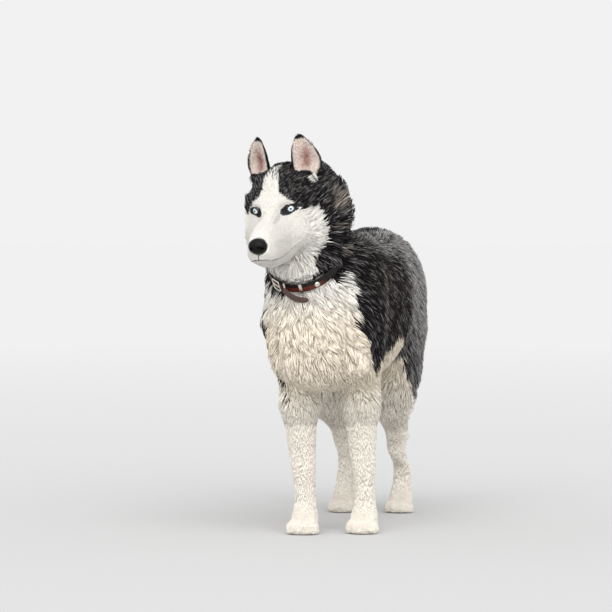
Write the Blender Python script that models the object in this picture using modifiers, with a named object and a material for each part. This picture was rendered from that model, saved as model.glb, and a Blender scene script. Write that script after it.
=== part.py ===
"""A Siberian husky, life size, standing square with its head turned a little to its right.

Metres, +Z up, the dog faces -Y and its left side is +X. The forms are set out round the point on
the floor below the withers, and the finished dog is then moved so that the middle of its box is
the origin.
"""

import math
import random

import bmesh
import bpy
import numpy as np
from mathutils import Matrix, Vector
from mathutils.bvhtree import BVHTree
from mathutils.kdtree import KDTree

# Driving sizes of the dog, in metres, out to the tips of the coat
WITHERS_HEIGHT = 0.617
CHEST_HALF_WIDTH = 0.118
RUMP_Y = 0.38

# Each foot: distance to the left, distance back and size
FEET = {
    "foreleg_left": (0.058, 0.014, 1.00),
    "foreleg_right": (-0.056, -0.026, 1.00),
    "hindleg_left": (0.048, 0.446, 0.94),
    "hindleg_right": (-0.075, 0.432, 0.94),
}

# The head's own frame has its origin midway between the eyes, x to the left, y back, z up
EYE_MIDPOINT = Vector((-0.079, -0.215, 0.651))
HEAD_YAW = math.radians(-8.0)
HEAD_PITCH = math.radians(17.0)
HEAD_ROLL = math.radians(-3.6)

EYE_SPACING = 0.0335
EYE_RADIUS = 0.0115
EYE_DEPTH = 0.0075
EYE_SPLAY = math.radians(24.0)

COLLAR_CENTRE = Vector((-0.041, -0.112, 0.5565))
COLLAR_NORMAL = Vector((-0.06, -0.70, 0.71)).normalized()
COLLAR_WIDTH = 0.020
COLLAR_THICKNESS = 0.0032
COLLAR_HALF_WIDTH = 0.0745
COLLAR_HALF_DEPTH = 0.085

GAP = 0.0003
SOLE = 0.001
TOUCH = 0.000003
DRAW_BACK = 0.00004
VOXEL = 0.004
SMOOTH_ROUNDS = 14
FLESH_FACES = 3400

BLACK_COAT = (0.018, 0.016, 0.018)
WHITE_COAT = (0.72, 0.67, 0.59)
ICE_BLUE = (0.42, 0.62, 0.72)
NOSE_BLACK = (0.012, 0.011, 0.013)
BROWN_LEATHER = (0.075, 0.020, 0.014)
NICKEL = (0.62, 0.61, 0.58)


def clear_scene():
    for item in list(bpy.data.objects):
        bpy.data.objects.remove(item, do_unlink=True)


def make_collection(name):
    made = bpy.data.collections.new(name)
    bpy.context.scene.collection.children.link(made)
    return made


def make_material(name, colour, roughness, metallic=0.0):
    made = bpy.data.materials.new(name)
    made.use_nodes = True
    shader = made.node_tree.nodes["Principled BSDF"]
    shader.inputs["Base Color"].default_value = (*colour, 1.0)
    shader.inputs["Roughness"].default_value = roughness
    shader.inputs["Metallic"].default_value = metallic
    return made


def object_from_bmesh(name, shape, collection):
    mesh = bpy.data.meshes.new(name)
    shape.to_mesh(mesh)
    shape.free()
    made = bpy.data.objects.new(name, mesh)
    collection.objects.link(made)
    return made


def apply_modifiers(item):
    """The object keeps its evaluated mesh and loses its modifiers."""
    graph = bpy.context.evaluated_depsgraph_get()
    graph.update()
    mesh = bpy.data.meshes.new_from_object(item.evaluated_get(graph))
    old = item.data
    item.modifiers.clear()
    item.data = mesh
    bpy.data.meshes.remove(old)


def head_matrix():
    turn = Matrix.Rotation(HEAD_YAW, 4, "Z") @ Matrix.Rotation(HEAD_PITCH, 4, "X")
    turn = turn @ Matrix.Rotation(HEAD_ROLL, 4, "Y")
    return Matrix.Translation(EYE_MIDPOINT) @ turn


# Lofts and round forms

RING_POINTS = 28


def ring(centre, side, up, half_width, above, below, squareness=2.0):
    """Points of a superellipse that may reach further above its centre than below."""
    points = []
    for step in range(RING_POINTS):
        angle = 2 * math.pi * step / RING_POINTS
        across, rise = math.cos(angle), math.sin(angle)
        power = 2.0 / squareness
        reach = half_width * math.copysign(abs(across) ** power, across)
        height = above if rise > 0 else below
        lift = height * math.copysign(abs(rise) ** power, rise)
        points.append(centre + side * reach + up * lift)
    return points


def add_loft(shape, rings):
    """A closed skin through the rings, in order, with a flat cap at each end."""
    rows = [[shape.verts.new(point) for point in points] for points in rings]
    count = len(rows[0])
    for lower, upper in zip(rows, rows[1:]):
        for index in range(count):
            following = (index + 1) % count
            shape.faces.new((lower[index], lower[following], upper[following], upper[index]))
    shape.faces.new(list(reversed(rows[0])))
    shape.faces.new(rows[-1])


def add_ellipsoid(shape, centre, radii, turn=None, detail=16):
    matrix = Matrix.Translation(centre) @ (turn or Matrix.Identity(4)) @ Matrix.Diagonal((*radii, 1.0))
    bmesh.ops.create_uvsphere(shape, u_segments=detail, v_segments=detail // 2 + 2, radius=1.0, matrix=matrix)


def along_spine(stations):
    """Rings square to a bent line. Each station is centre, half width, reach ahead and reach behind."""
    rings = []
    centres = [Vector(station[0]) for station in stations]
    for index, (centre, (_, half_width, ahead, behind)) in enumerate(zip(centres, stations)):
        before, after = centres[max(index - 1, 0)], centres[min(index + 1, len(centres) - 1)]
        run = (after - before).normalized()
        side = Vector((1, 0, 0))
        side = (side - run * side.dot(run)).normalized()
        back = side.cross(run)
        if back.y < 0:
            back = -back
        rings.append(ring(centre, side, back, half_width, behind, ahead))
    return rings


def add_torso(shape):
    """Chest, ribs, belly and rump, as upright sections from front to back."""
    side, up = Vector((1, 0, 0)), Vector((0, 0, 1))
    wide = CHEST_HALF_WIDTH
    # y, centre x, top, bottom, half width, height of the widest place
    sections = (
        (-0.184, -0.024, 0.455, 0.385, 0.022, 0.420),
        (-0.177, -0.024, 0.485, 0.352, 0.055, 0.418),
        (-0.160, -0.024, 0.520, 0.325, wide - 0.040, 0.415),
        (-0.130, -0.023, 0.555, 0.305, wide - 0.020, 0.415),
        (-0.085, -0.021, 0.590, 0.291, wide - 0.006, 0.420),
        (-0.020, -0.018, WITHERS_HEIGHT, 0.284, wide, 0.425),
        (0.060, -0.015, WITHERS_HEIGHT, 0.282, wide + 0.001, 0.430),
        (0.140, -0.010, WITHERS_HEIGHT - 0.006, 0.290, wide + 0.002, 0.435),
        (0.210, -0.005, WITHERS_HEIGHT - 0.009, 0.308, wide, 0.450),
        (0.280, 0.000, WITHERS_HEIGHT - 0.004, 0.336, wide - 0.008, 0.460),
        (0.340, 0.003, WITHERS_HEIGHT + 0.002, 0.366, wide - 0.010, 0.460),
        (0.400, 0.006, WITHERS_HEIGHT - 0.004, 0.392, wide - 0.012, 0.460),
        (0.445, 0.008, 0.592, 0.405, 0.090, 0.465),
        (0.475, 0.009, 0.562, 0.425, 0.064, 0.475),
        (0.490, 0.009, 0.530, 0.450, 0.034, 0.485),
    )
    rings = []
    for y, x, top, bottom, half_width, middle in sections:
        centre = Vector((x, y, middle))
        rings.append(ring(centre, side, up, half_width, top - middle, middle - bottom, 2.15))
    add_loft(shape, rings)


def add_neck(shape):
    stations = (
        ((-0.018, -0.030, 0.430), 0.108, 0.110, 0.120),
        ((-0.030, -0.062, 0.480), 0.098, 0.106, 0.105),
        ((-0.041, -0.090, 0.522), 0.087, 0.094, 0.098),
        ((-0.045, -0.098, 0.570), 0.094, 0.082, 0.100),
        ((-0.047, -0.096, 0.615), 0.105, 0.078, 0.096),
        ((-0.049, -0.096, 0.655), 0.106, 0.074, 0.088),
        ((-0.052, -0.100, 0.695), 0.097, 0.068, 0.070),
        ((-0.056, -0.106, 0.730), 0.076, 0.055, 0.046),
        ((-0.060, -0.110, 0.748), 0.050, 0.040, 0.030),
    )
    add_loft(shape, along_spine(stations))
    # withers and point of each shoulder
    add_ellipsoid(shape, Vector((-0.020, 0.010, 0.560)), (0.062, 0.100, 0.062))
    add_ellipsoid(shape, Vector((-0.030, -0.010, 0.596)), (0.070, 0.090, 0.062))
    for sign in (-1, 1):
        add_ellipsoid(shape, Vector((-0.020 + sign * 0.066, -0.085, 0.400)), (0.050, 0.070, 0.090))
        add_ellipsoid(shape, Vector((-0.018 + sign * 0.068, -0.010, 0.420)), (0.056, 0.080, 0.140))


def leg_rings(stations):
    """Level sections down a leg. Each station is z, x, y, half width, reach ahead and reach behind."""
    side, back = Vector((1, 0, 0)), Vector((0, 1, 0))
    return [
        ring(Vector((x, y, z)), side, back, half_width, behind, ahead, 2.1)
        for z, x, y, half_width, ahead, behind in stations
    ]


def add_foreleg(shape, name, sign, elbow_x):
    foot_x, foot_y, size = FEET[name]
    lean = elbow_x - foot_x
    stations = (
        (0.420, elbow_x - sign * 0.006, foot_y - 0.020, 0.046, 0.070, 0.080),
        (0.340, elbow_x, foot_y - 0.004, 0.044, 0.058, 0.068),
        (0.300, elbow_x, foot_y + 0.004, 0.0395, 0.046, 0.062),
        (0.262, elbow_x, foot_y + 0.006, 0.0370, 0.040, 0.048),
        (0.220, foot_x + lean * 0.85, foot_y + 0.004, 0.0350, 0.034, 0.038),
        (0.170, foot_x + lean * 0.60, foot_y + 0.002, 0.0305, 0.029, 0.030),
        (0.135, foot_x + lean * 0.40, foot_y, 0.0280, 0.028, 0.026),
        (0.105, foot_x + lean * 0.25, foot_y, 0.0245, 0.024, 0.025),
        (0.070, foot_x + lean * 0.10, foot_y - 0.003, 0.0240, 0.023, 0.026),
        (0.038, foot_x, foot_y - 0.012, 0.0280, 0.030, 0.026),
        (0.006, foot_x, foot_y - 0.014, 0.0260, 0.030, 0.024),
    )
    add_loft(shape, leg_rings(stations))
    add_paw(shape, foot_x, foot_y - 0.016 * size, size)


def add_hindleg(shape, name, thigh_x, gaskin_x):
    """Thigh, gaskin, hock and foot. The thigh's centre line and the gaskin's are given apart."""
    foot_x, foot_y, size = FEET[name]
    stations = (
        (0.520, thigh_x * 0.80, RUMP_Y - 0.006, 0.046, 0.080, 0.070),
        (0.460, thigh_x * 0.92, RUMP_Y - 0.010, 0.053, 0.100, 0.090),
        (0.400, thigh_x, RUMP_Y - 0.020, 0.0525, 0.106, 0.096),
        (0.350, (thigh_x * 2 + gaskin_x) / 3, RUMP_Y - 0.024, 0.049, 0.098, 0.086),
        (0.300, (thigh_x + gaskin_x) / 2, RUMP_Y - 0.012, 0.045, 0.084, 0.070),
        (0.260, gaskin_x, RUMP_Y + 0.010, 0.0415, 0.066, 0.058),
        (0.220, gaskin_x, RUMP_Y + 0.036, 0.0350, 0.048, 0.048),
        (0.185, (gaskin_x + foot_x) / 2, RUMP_Y + 0.058, 0.0280, 0.034, 0.040),
        (0.155, foot_x, RUMP_Y + 0.070, 0.0230, 0.027, 0.036),
        (0.120, foot_x, RUMP_Y + 0.070, 0.0215, 0.024, 0.028),
        (0.080, foot_x, foot_y + 0.004, 0.0215, 0.023, 0.024),
        (0.038, foot_x, foot_y - 0.010, 0.0260, 0.028, 0.024),
        (0.006, foot_x, foot_y - 0.012, 0.0240, 0.028, 0.022),
    )
    add_loft(shape, leg_rings(stations))
    add_paw(shape, foot_x, foot_y - 0.016 * size, size)


TOES = ((-0.0245, 0.020, 0.0110), (-0.0088, 0.033, 0.0135), (0.0088, 0.033, 0.0135), (0.0245, 0.020, 0.0110))


def add_paw(shape, x, y, size):
    """Four toes, the two middle ones further forward, round a heel pad."""
    for across, ahead, high in TOES:
        toe = Vector((x + across * size, y - ahead * size, high * size))
        add_ellipsoid(shape, toe, (0.0105 * size, 0.0210 * size, 0.0175 * size))
    add_ellipsoid(shape, Vector((x, y + 0.004, 0.008)), (0.026 * size, 0.026 * size, 0.016))


TAIL_STATIONS = (
    ((0.010, 0.440, 0.560), 0.036, 0.034, 0.034),
    ((0.010, 0.490, 0.540), 0.038, 0.034, 0.036),
    ((0.011, 0.532, 0.495), 0.042, 0.036, 0.040),
    ((0.012, 0.556, 0.440), 0.046, 0.040, 0.046),
    ((0.013, 0.568, 0.380), 0.049, 0.044, 0.050),
    ((0.014, 0.578, 0.320), 0.047, 0.042, 0.048),
    ((0.015, 0.594, 0.268), 0.038, 0.034, 0.038),
    ((0.016, 0.616, 0.228), 0.024, 0.022, 0.024),
    ((0.017, 0.632, 0.208), 0.009, 0.009, 0.009),
)


def add_tail(shape):
    add_loft(shape, along_spine(TAIL_STATIONS))


def add_head(shape):
    frame = head_matrix()
    side = frame.to_3x3() @ Vector((1, 0, 0))
    up = frame.to_3x3() @ Vector((0, 0, 1))

    def head_loft(sections, squareness):
        rings = []
        for y, half_width, top, bottom, middle in sections:
            centre = frame @ Vector((0, y, middle))
            rings.append(ring(centre, side, up, half_width, top - middle, middle - bottom, squareness))
        add_loft(shape, rings)

    # y, half width, top, bottom, height of the widest place
    skull = (
        (-0.020, 0.030, 0.014, -0.050, -0.012),
        (-0.006, 0.047, 0.036, -0.070, -0.008),
        (0.012, 0.061, 0.052, -0.083, -0.010),
        (0.036, 0.073, 0.067, -0.090, -0.014),
        (0.066, 0.079, 0.078, -0.090, -0.016),
        (0.096, 0.078, 0.078, -0.082, -0.014),
        (0.124, 0.066, 0.064, -0.066, -0.010),
        (0.146, 0.042, 0.038, -0.040, 0.000),
    )
    head_loft(skull, 2.15)
    muzzle = (
        (-0.108, 0.017, -0.032, -0.068, -0.050),
        (-0.100, 0.0245, -0.025, -0.084, -0.054),
        (-0.084, 0.0295, -0.018, -0.094, -0.057),
        (-0.060, 0.0325, -0.011, -0.100, -0.058),
        (-0.036, 0.0365, -0.003, -0.103, -0.056),
        (-0.012, 0.0450, 0.006, -0.105, -0.052),
        (0.020, 0.0560, 0.012, -0.105, -0.046),
    )
    head_loft(muzzle, 2.6)
    turn = frame.to_3x3().to_4x4()
    for sign in (-1, 1):
        # cheek ruff, jaw muscle, brow, flew and root of the ear
        add_ellipsoid(shape, frame @ Vector((sign * 0.046, 0.080, -0.042)), (0.052, 0.066, 0.052), turn)
        add_ellipsoid(shape, frame @ Vector((sign * 0.036, 0.034, -0.048)), (0.042, 0.058, 0.050), turn)
        add_ellipsoid(shape, frame @ Vector((sign * 0.031, 0.010, 0.025)), (0.022, 0.016, 0.012), turn)
        add_ellipsoid(shape, frame @ Vector((sign * 0.016, -0.084, -0.060)), (0.016, 0.022, 0.018), turn)
        add_ellipsoid(shape, frame @ Vector((sign * 0.047, 0.086, 0.044)), (0.033, 0.034, 0.027), turn)
        add_ellipsoid(shape, frame @ Vector((sign * 0.052, 0.090, 0.010)), (0.028, 0.040, 0.045), turn)


def push(mesh, centre, radius, move):
    """Moves the points near a centre together, less with distance, as a soft pull by hand would."""
    points = np.empty(len(mesh.vertices) * 3)
    mesh.vertices.foreach_get("co", points)
    points = points.reshape(-1, 3)
    away = np.linalg.norm(points - np.array(centre), axis=1) / radius
    share = np.clip(1.0 - away * away, 0.0, 1.0) ** 2
    points += share[:, None] * np.array(move)
    mesh.vertices.foreach_set("co", points.ravel())
    mesh.update()


def eye_axis(sign):
    """Outward axis of an eye in the head's frame."""
    return Vector((sign * math.sin(EYE_SPLAY), -math.cos(EYE_SPLAY), 0.10)).normalized()


def eye_centre(sign):
    return Vector((sign * EYE_SPACING, EYE_DEPTH, 0.0))


def shape_face(mesh):
    """Hollows of the orbits, the furrow of the forehead and the mouth's corners."""
    frame = head_matrix()
    turn = frame.to_3x3()

    def pull(place, radius, move):
        push(mesh, frame @ Vector(place), radius, turn @ Vector(move))

    pull((0, 0.000, 0.040), 0.022, (0, 0.004, -0.003))
    for sign in (-1, 1):
        pull((sign * 0.030, -0.014, 0.002), 0.021, (-sign * 0.003, 0.010, -0.001))
        pull((sign * 0.021, -0.030, -0.012), 0.020, (-sign * 0.005, 0.004, 0.0))
        pull((sign * 0.060, 0.030, 0.042), 0.030, (-sign * 0.006, 0.0, -0.002))


def collar_matrix():
    """Frame of the collar: x to the left, y back, z along the neck."""
    up = COLLAR_NORMAL
    across = Vector((0, 1, 0)).cross(up).normalized()
    back = up.cross(across)
    return Matrix.Translation(COLLAR_CENTRE) @ Matrix((across, back, up)).transposed().to_4x4()


def smooth_step(value):
    value = np.clip(value, 0.0, 1.0)
    return value * value * (3.0 - 2.0 * value)


def part_coat(mesh):
    """Where the coat is long the skin lies deeper, and locks stand on it out to the old outline."""
    frame = head_matrix()
    cheek = [frame @ Vector((sign * 0.075, 0.060, -0.040)) for sign in (-1, 1)]
    # centre, reach in x, y and z, and depth
    places = [
        (Vector((-0.045, -0.100, 0.630)), (0.130, 0.120, 0.125), 0.014),
        (Vector((-0.020, 0.010, 0.600)), (0.100, 0.100, 0.060), 0.008),
        (Vector((-0.022, -0.150, 0.400)), (0.130, 0.110, 0.100), 0.013),
        (cheek[0], (0.045, 0.050, 0.065), 0.008),
        (cheek[1], (0.045, 0.050, 0.065), 0.008),
        (Vector((0.013, 0.580, 0.370)), (0.100, 0.090, 0.200), 0.020),
        (Vector((0.060, 0.480, 0.340)), (0.060, 0.065, 0.130), 0.011),
        (Vector((-0.070, 0.480, 0.340)), (0.060, 0.065, 0.130), 0.011),
    ]
    count = len(mesh.vertices)
    points = np.empty(count * 3)
    normals = np.empty(count * 3)
    mesh.vertices.foreach_get("co", points)
    mesh.vertices.foreach_get("normal", normals)
    points, normals = points.reshape(-1, 3), normals.reshape(-1, 3)
    depth = np.zeros(count)
    for centre, reach, deep in places:
        away = np.linalg.norm((points - np.array(centre)) / np.array(reach), axis=1)
        depth = np.maximum(depth, deep * smooth_step((1.15 - away) / 0.5))
    points -= normals * depth[:, None]
    mesh.vertices.foreach_set("co", points.ravel())
    mesh.update()


def press_collar(mesh):
    """The strap presses the coat in, at the throat and the sides of the neck."""
    flat, band = 0.016, 0.038
    count = len(mesh.vertices)
    points = np.empty(count * 3)
    mesh.vertices.foreach_get("co", points)
    points = points.reshape(-1, 3)
    frame = np.array(collar_matrix())
    local = (points - frame[:3, 3]) @ frame[:3, :3]
    round_x = local[:, 0] / COLLAR_HALF_WIDTH
    round_y = local[:, 1] / COLLAR_HALF_DEPTH
    spread = np.hypot(round_x, round_y) + 1e-9
    front = smooth_step((0.55 - round_y / spread) / 0.7)
    share = smooth_step((band - np.abs(local[:, 2])) / (band - flat)) * front * (spread < 1.45)
    factor = 1.0 + share * (1.0 / spread - 1.0)
    local[:, 0] *= factor
    local[:, 1] *= factor
    points = local @ frame[:3, :3].T + frame[:3, 3]
    mesh.vertices.foreach_set("co", points.ravel())
    mesh.update()


def thin_out(flesh):
    """Fewer faces, with the face and the feet kept finer than the trunk."""
    spare = flesh.vertex_groups.new(name="spare")
    to_head = head_matrix().inverted()
    for vertex in flesh.data.vertices:
        place = to_head @ vertex.co
        in_face = place.y < 0.05 and place.z > -0.12
        in_foot = vertex.co.z < 0.06
        spare.add([vertex.index], 0.84 if in_face else 0.90 if in_foot else 1.0, "REPLACE")
    reduce = flesh.modifiers.new("reduce", "DECIMATE")
    reduce.ratio = FLESH_FACES / (2 * len(flesh.data.polygons))
    reduce.vertex_group = "spare"
    reduce.vertex_group_factor = 0.00002
    apply_modifiers(flesh)
    flesh.vertex_groups.clear()


def build_flesh(collection):
    """The whole dog in one skin: every form joined, then smoothed where the forms meet."""
    shape = bmesh.new()
    add_torso(shape)
    add_neck(shape)
    add_head(shape)
    add_foreleg(shape, "foreleg_left", 1, 0.046)
    add_foreleg(shape, "foreleg_right", -1, -0.072)
    add_hindleg(shape, "hindleg_left", 0.064, 0.052)
    add_hindleg(shape, "hindleg_right", -0.058, -0.090)
    add_tail(shape)
    flesh = object_from_bmesh("flesh", shape, collection)
    remesh = flesh.modifiers.new("join", "REMESH")
    remesh.mode = "VOXEL"
    remesh.voxel_size = VOXEL
    soften = flesh.modifiers.new("soften", "SMOOTH")
    soften.factor = 0.5
    soften.iterations = SMOOTH_ROUNDS
    apply_modifiers(flesh)
    shape_face(flesh.data)
    part_coat(flesh.data)
    press_collar(flesh.data)
    thin_out(flesh)
    return flesh


# Parting the skin into nodes


def mark_cutter(item):
    item.hide_render = True
    item.display_type = "WIRE"
    return item


def cutting_box(name, lower, upper, matrix, cutters):
    """A box between two corners of a frame of its own."""
    shape = bmesh.new()
    lower, upper = Vector(lower), Vector(upper)
    size = upper - lower
    place = matrix @ Matrix.Translation((lower + upper) / 2) @ Matrix.Diagonal((*size, 1.0))
    bmesh.ops.create_cube(shape, size=1.0, matrix=place)
    return mark_cutter(object_from_bmesh(name, shape, cutters))


def plane_frame(point, normal):
    """A frame whose z axis is the normal and whose x axis points to the left side."""
    up = Vector(normal).normalized()
    across = Vector((1, 0, 0))
    across = (across - up * across.dot(up)).normalized()
    ahead = up.cross(across)
    turn = Matrix((across, ahead, up)).transposed().to_4x4()
    return Matrix.Translation(Vector(point)) @ turn


def combine(item, other, operation, solver="EXACT"):
    cut = item.modifiers.new("cut", "BOOLEAN")
    cut.operation = operation
    cut.solver = solver
    cut.object = other
    apply_modifiers(item)


def keep_largest(item, weld=0.00002):
    """Drops every loose scrap and leaves the largest closed surface, in triangles."""
    shape = bmesh.new()
    shape.from_mesh(item.data)
    if weld:
        bmesh.ops.remove_doubles(shape, verts=shape.verts, dist=weld)
        bmesh.ops.dissolve_degenerate(shape, dist=weld, edges=shape.edges)
    bmesh.ops.triangulate(shape, faces=shape.faces)
    unseen = set(shape.faces)
    best = []
    while unseen:
        start = unseen.pop()
        group, front = [start], [start]
        while front:
            for edge in front.pop().edges:
                if len(edge.link_faces) > 2:
                    continue
                for face in edge.link_faces:
                    if face in unseen:
                        unseen.discard(face)
                        group.append(face)
                        front.append(face)
        if len(group) > len(best):
            best = group
    kept = set(best)
    bmesh.ops.delete(shape, geom=[face for face in shape.faces if face not in kept], context="FACES")
    bmesh.ops.recalc_face_normals(shape, faces=shape.faces)
    shape.to_mesh(item.data)
    shape.free()


def loosen(item):
    """Points of a node that lie on each other, where locks only just touch, are drawn back into it."""
    points = [vertex.co.copy() for vertex in item.data.vertices]
    normals = [vertex.normal.copy() for vertex in item.data.vertices]
    tree = KDTree(len(points))
    for index, point in enumerate(points):
        tree.insert(point, index)
    tree.balance()
    for index, point in enumerate(points):
        if len(tree.find_range(point, TOUCH)) > 1:
            item.data.vertices[index].co = point - normals[index] * DRAW_BACK
    item.data.update()


def part_off(body, name, frame, lower, upper, dog, cutters):
    """Takes the piece of the body inside a box, leaving a thin gap between the two."""
    inner = cutting_box(name + "_taken", lower, upper, frame @ Matrix.Translation((0, 0, GAP / 2)), cutters)
    outer = cutting_box(name + "_left", lower, upper, frame @ Matrix.Translation((0, 0, -GAP / 2)), cutters)
    piece = bpy.data.objects.new(name, body.data.copy())
    dog.objects.link(piece)
    combine(piece, inner, "INTERSECT")
    combine(body, outer, "DIFFERENCE")
    keep_largest(piece)
    return piece


def parting_planes():
    """Frames on the planes where the nodes meet, each with z pointing to the smaller piece."""
    head_place = head_matrix()
    throat = head_place @ Vector((0.0, 0.035, -0.100))
    behind_head = head_place.to_3x3() @ Vector((0.0, -0.75, 0.66))
    return {
        "head": plane_frame(throat, behind_head),
        "neck": plane_frame(COLLAR_CENTRE - COLLAR_NORMAL * 0.032, COLLAR_NORMAL),
        "tail": plane_frame((0.01, 0.487, 0.53), (0, 1, 0)),
        "fore": plane_frame((-0.013, 0, 0.279), (0, 0, -1)),
        "hind": plane_frame((0.003, 0.27, 0.318), (0, 0.396, -0.918)),
    }


def part_dog(flesh, dog, cutters):
    """The skin is cut into head, neck, tail and four legs. What is left is the torso."""
    planes = parting_planes()
    wide, deep = (-0.5, -0.5, 0), (0.5, 0.5, 0.5)
    nodes = {}
    combine(flesh, cutting_box("floor", (-1, -1, -0.2), (1, 1, SOLE), Matrix.Identity(4), cutters), "DIFFERENCE")
    nodes["head"] = part_off(flesh, "head", planes["head"], wide, deep, dog, cutters)
    nodes["neck"] = part_off(flesh, "neck", planes["neck"], wide, deep, dog, cutters)
    nodes["tail"] = part_off(flesh, "tail", planes["tail"], (-0.2, -0.2, 0), (0.2, 0.5, 0.3), dog, cutters)
    for side, near, far in (("left", 0.0, 0.2), ("right", -0.2, 0.0)):
        name = "foreleg_" + side
        nodes[name] = part_off(flesh, name, planes["fore"], (near, -0.16, 0), (far, 0.16, 0.4), dog, cutters)
    for side, near, far in (("left", 0.0, 0.2), ("right", -0.2, 0.0)):
        name = "hindleg_" + side
        nodes[name] = part_off(flesh, name, planes["hind"], (near, -0.3, 0), (far, 0.3, 0.5), dog, cutters)
    keep_largest(flesh)
    flesh.name = "torso"
    nodes["torso"] = flesh
    return nodes


# Ears

# height, distance from the middle, half width, depth and place of the middle from front to back
EAR_STATIONS = (
    (0.036, 0.0480, 0.0170, 0.0130, 0.0800),
    (0.044, 0.0500, 0.0235, 0.0180, 0.0800),
    (0.054, 0.0520, 0.0285, 0.0205, 0.0805),
    (0.064, 0.0530, 0.0310, 0.0205, 0.0805),
    (0.075, 0.0528, 0.0306, 0.0185, 0.0810),
    (0.086, 0.0513, 0.0282, 0.0162, 0.0815),
    (0.098, 0.0492, 0.0238, 0.0136, 0.0820),
    (0.108, 0.0474, 0.0188, 0.0108, 0.0825),
    (0.117, 0.0458, 0.0136, 0.0080, 0.0835),
    (0.124, 0.0446, 0.0082, 0.0052, 0.0845),
    (0.128, 0.0440, 0.0034, 0.0030, 0.0850),
)
EAR_WALL = 0.0052
EAR_TURN = math.radians(26.0)
EAR_FRONT = 0.0050


def ear_ring(sign, station, filled, grow):
    """A level section of the ear: round behind, and in front a hollow or a low bulge."""
    height, across, half_width, depth, back = station
    turn = Matrix.Rotation(sign * EAR_TURN, 3, "Z")
    middle = Vector((sign * across, back, height))
    wall = min(EAR_WALL, half_width * 0.55)
    points = []
    behind_count, front_count = 10, 8
    for step in range(behind_count + 1):
        angle = math.pi * step / behind_count
        reach = (half_width + grow) * math.cos(angle)
        points.append(middle + turn @ Vector((reach, (depth + grow) * math.sin(angle), 0)))
    for step in range(1, front_count):
        angle = math.pi * (1 - step / front_count)
        hollow = (depth - wall) * math.sin(angle)
        bulge = -(EAR_FRONT + grow) * math.sin(angle)
        reach = (half_width + grow - wall * (1 - filled)) * math.cos(angle)
        points.append(middle + turn @ Vector((reach, hollow * (1 - filled) + bulge * filled, 0)))
    return points


def make_ear(sign, name, collection, hull=False):
    """One ear with its cup. The hull is the same form without the cup and a little larger."""
    frame = head_matrix()
    fills = (1.0, 1.0, 0.8, 0.35, 0.0)
    rings = []
    for index, station in enumerate(EAR_STATIONS):
        filled = 1.0 if hull else (fills[index] if index < len(fills) else 0.0)
        grow = GAP if hull else 0.0
        points = ear_ring(sign, station, filled, grow)
        if hull and index == 0:
            points = [point - Vector((0, 0, GAP)) for point in points]
        rings.append([frame @ point for point in points])
        if hull and index == 6:
            break
    shape = bmesh.new()
    add_loft(shape, rings)
    bmesh.ops.recalc_face_normals(shape, faces=shape.faces)
    return object_from_bmesh(name, shape, collection)


# Eyes and lids


def almond(sign, distance, wide, high, points=20):
    """Points of a slanting almond on a sphere round the eye, its outer corner the higher one."""
    axis = eye_axis(sign)
    side = Vector((0, 0, 1)).cross(axis).normalized() * -sign
    if side.x * sign < 0:
        side = -side
    up = axis.cross(side)
    if up.z < 0:
        up = -up
    slant = math.radians(13.0)
    placed = []
    for step in range(points):
        angle = 2 * math.pi * step / points
        across = math.cos(angle)
        rise = math.sin(angle) * (1.0 - 0.35 * across * across)
        yaw = wide * (across * math.cos(slant) - 0.5 * rise * math.sin(slant))
        pitch = high * rise + wide * across * math.sin(slant)
        way = axis + side * math.tan(yaw) + up * math.tan(pitch)
        placed.append(eye_centre(sign) + way.normalized() * distance)
    return placed


EYE_WIDE = math.radians(44.0)
EYE_HIGH = math.radians(31.0)
LID_THICKNESS = 0.0021


def make_ball(name, centre, radii, collection, detail=20):
    shape = bmesh.new()
    turn = head_matrix().to_3x3().to_4x4()
    add_ellipsoid(shape, head_matrix() @ Vector(centre), radii, turn, detail)
    return object_from_bmesh(name, shape, collection)


def make_tube(name, points, radius, collection, closed=True, sides=1):
    """A round cord along the points, with closed ends, in the mesh of an object at the origin."""
    curve = bpy.data.curves.new(name, "CURVE")
    curve.dimensions = "3D"
    curve.bevel_depth = radius
    curve.bevel_resolution = sides
    curve.use_fill_caps = not closed
    line = curve.splines.new("POLY")
    line.points.add(len(points) - 1)
    for place, point in zip(line.points, points):
        place.co = (*point, 1.0)
    line.use_cyclic_u = closed
    cord = bpy.data.objects.new(name + "_line", curve)
    collection.objects.link(cord)
    bpy.context.view_layer.update()
    mesh = bpy.data.meshes.new_from_object(cord.evaluated_get(bpy.context.evaluated_depsgraph_get()))
    bpy.data.objects.remove(cord, do_unlink=True)
    shape = bmesh.new()
    shape.from_mesh(mesh)
    bmesh.ops.remove_doubles(shape, verts=shape.verts, dist=0.00001)
    bmesh.ops.recalc_face_normals(shape, faces=shape.faces)
    bpy.data.meshes.remove(mesh)
    return object_from_bmesh(name, shape, collection)


def cut_eye(head, sign, name, dog, cutters):
    """Opening between the lids, the lids round it and the eyeball behind them."""
    frame = head_matrix()
    near = [frame @ point for point in almond(sign, EYE_RADIUS * 0.55, EYE_WIDE, EYE_HIGH)]
    far = [frame @ point for point in almond(sign, EYE_RADIUS * 3.2, EYE_WIDE, EYE_HIGH)]
    shape = bmesh.new()
    add_loft(shape, (near, far))
    bmesh.ops.recalc_face_normals(shape, faces=shape.faces)
    opening = mark_cutter(object_from_bmesh(name + "_opening", shape, cutters))
    combine(head, opening, "DIFFERENCE")
    rim = [frame @ point for point in almond(sign, EYE_RADIUS + 0.0012, EYE_WIDE * 1.04, EYE_HIGH * 1.06)]
    lids = mark_cutter(make_tube(name + "_lids", rim, LID_THICKNESS, cutters))
    combine(head, lids, "UNION")
    room = EYE_RADIUS + GAP
    socket = mark_cutter(make_ball(name + "_socket", eye_centre(sign), (room, room, room), cutters, 13))
    combine(head, socket, "DIFFERENCE")
    radii = (EYE_RADIUS, EYE_RADIUS, EYE_RADIUS)
    return make_ball(name, eye_centre(sign), radii, dog, 13)


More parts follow.
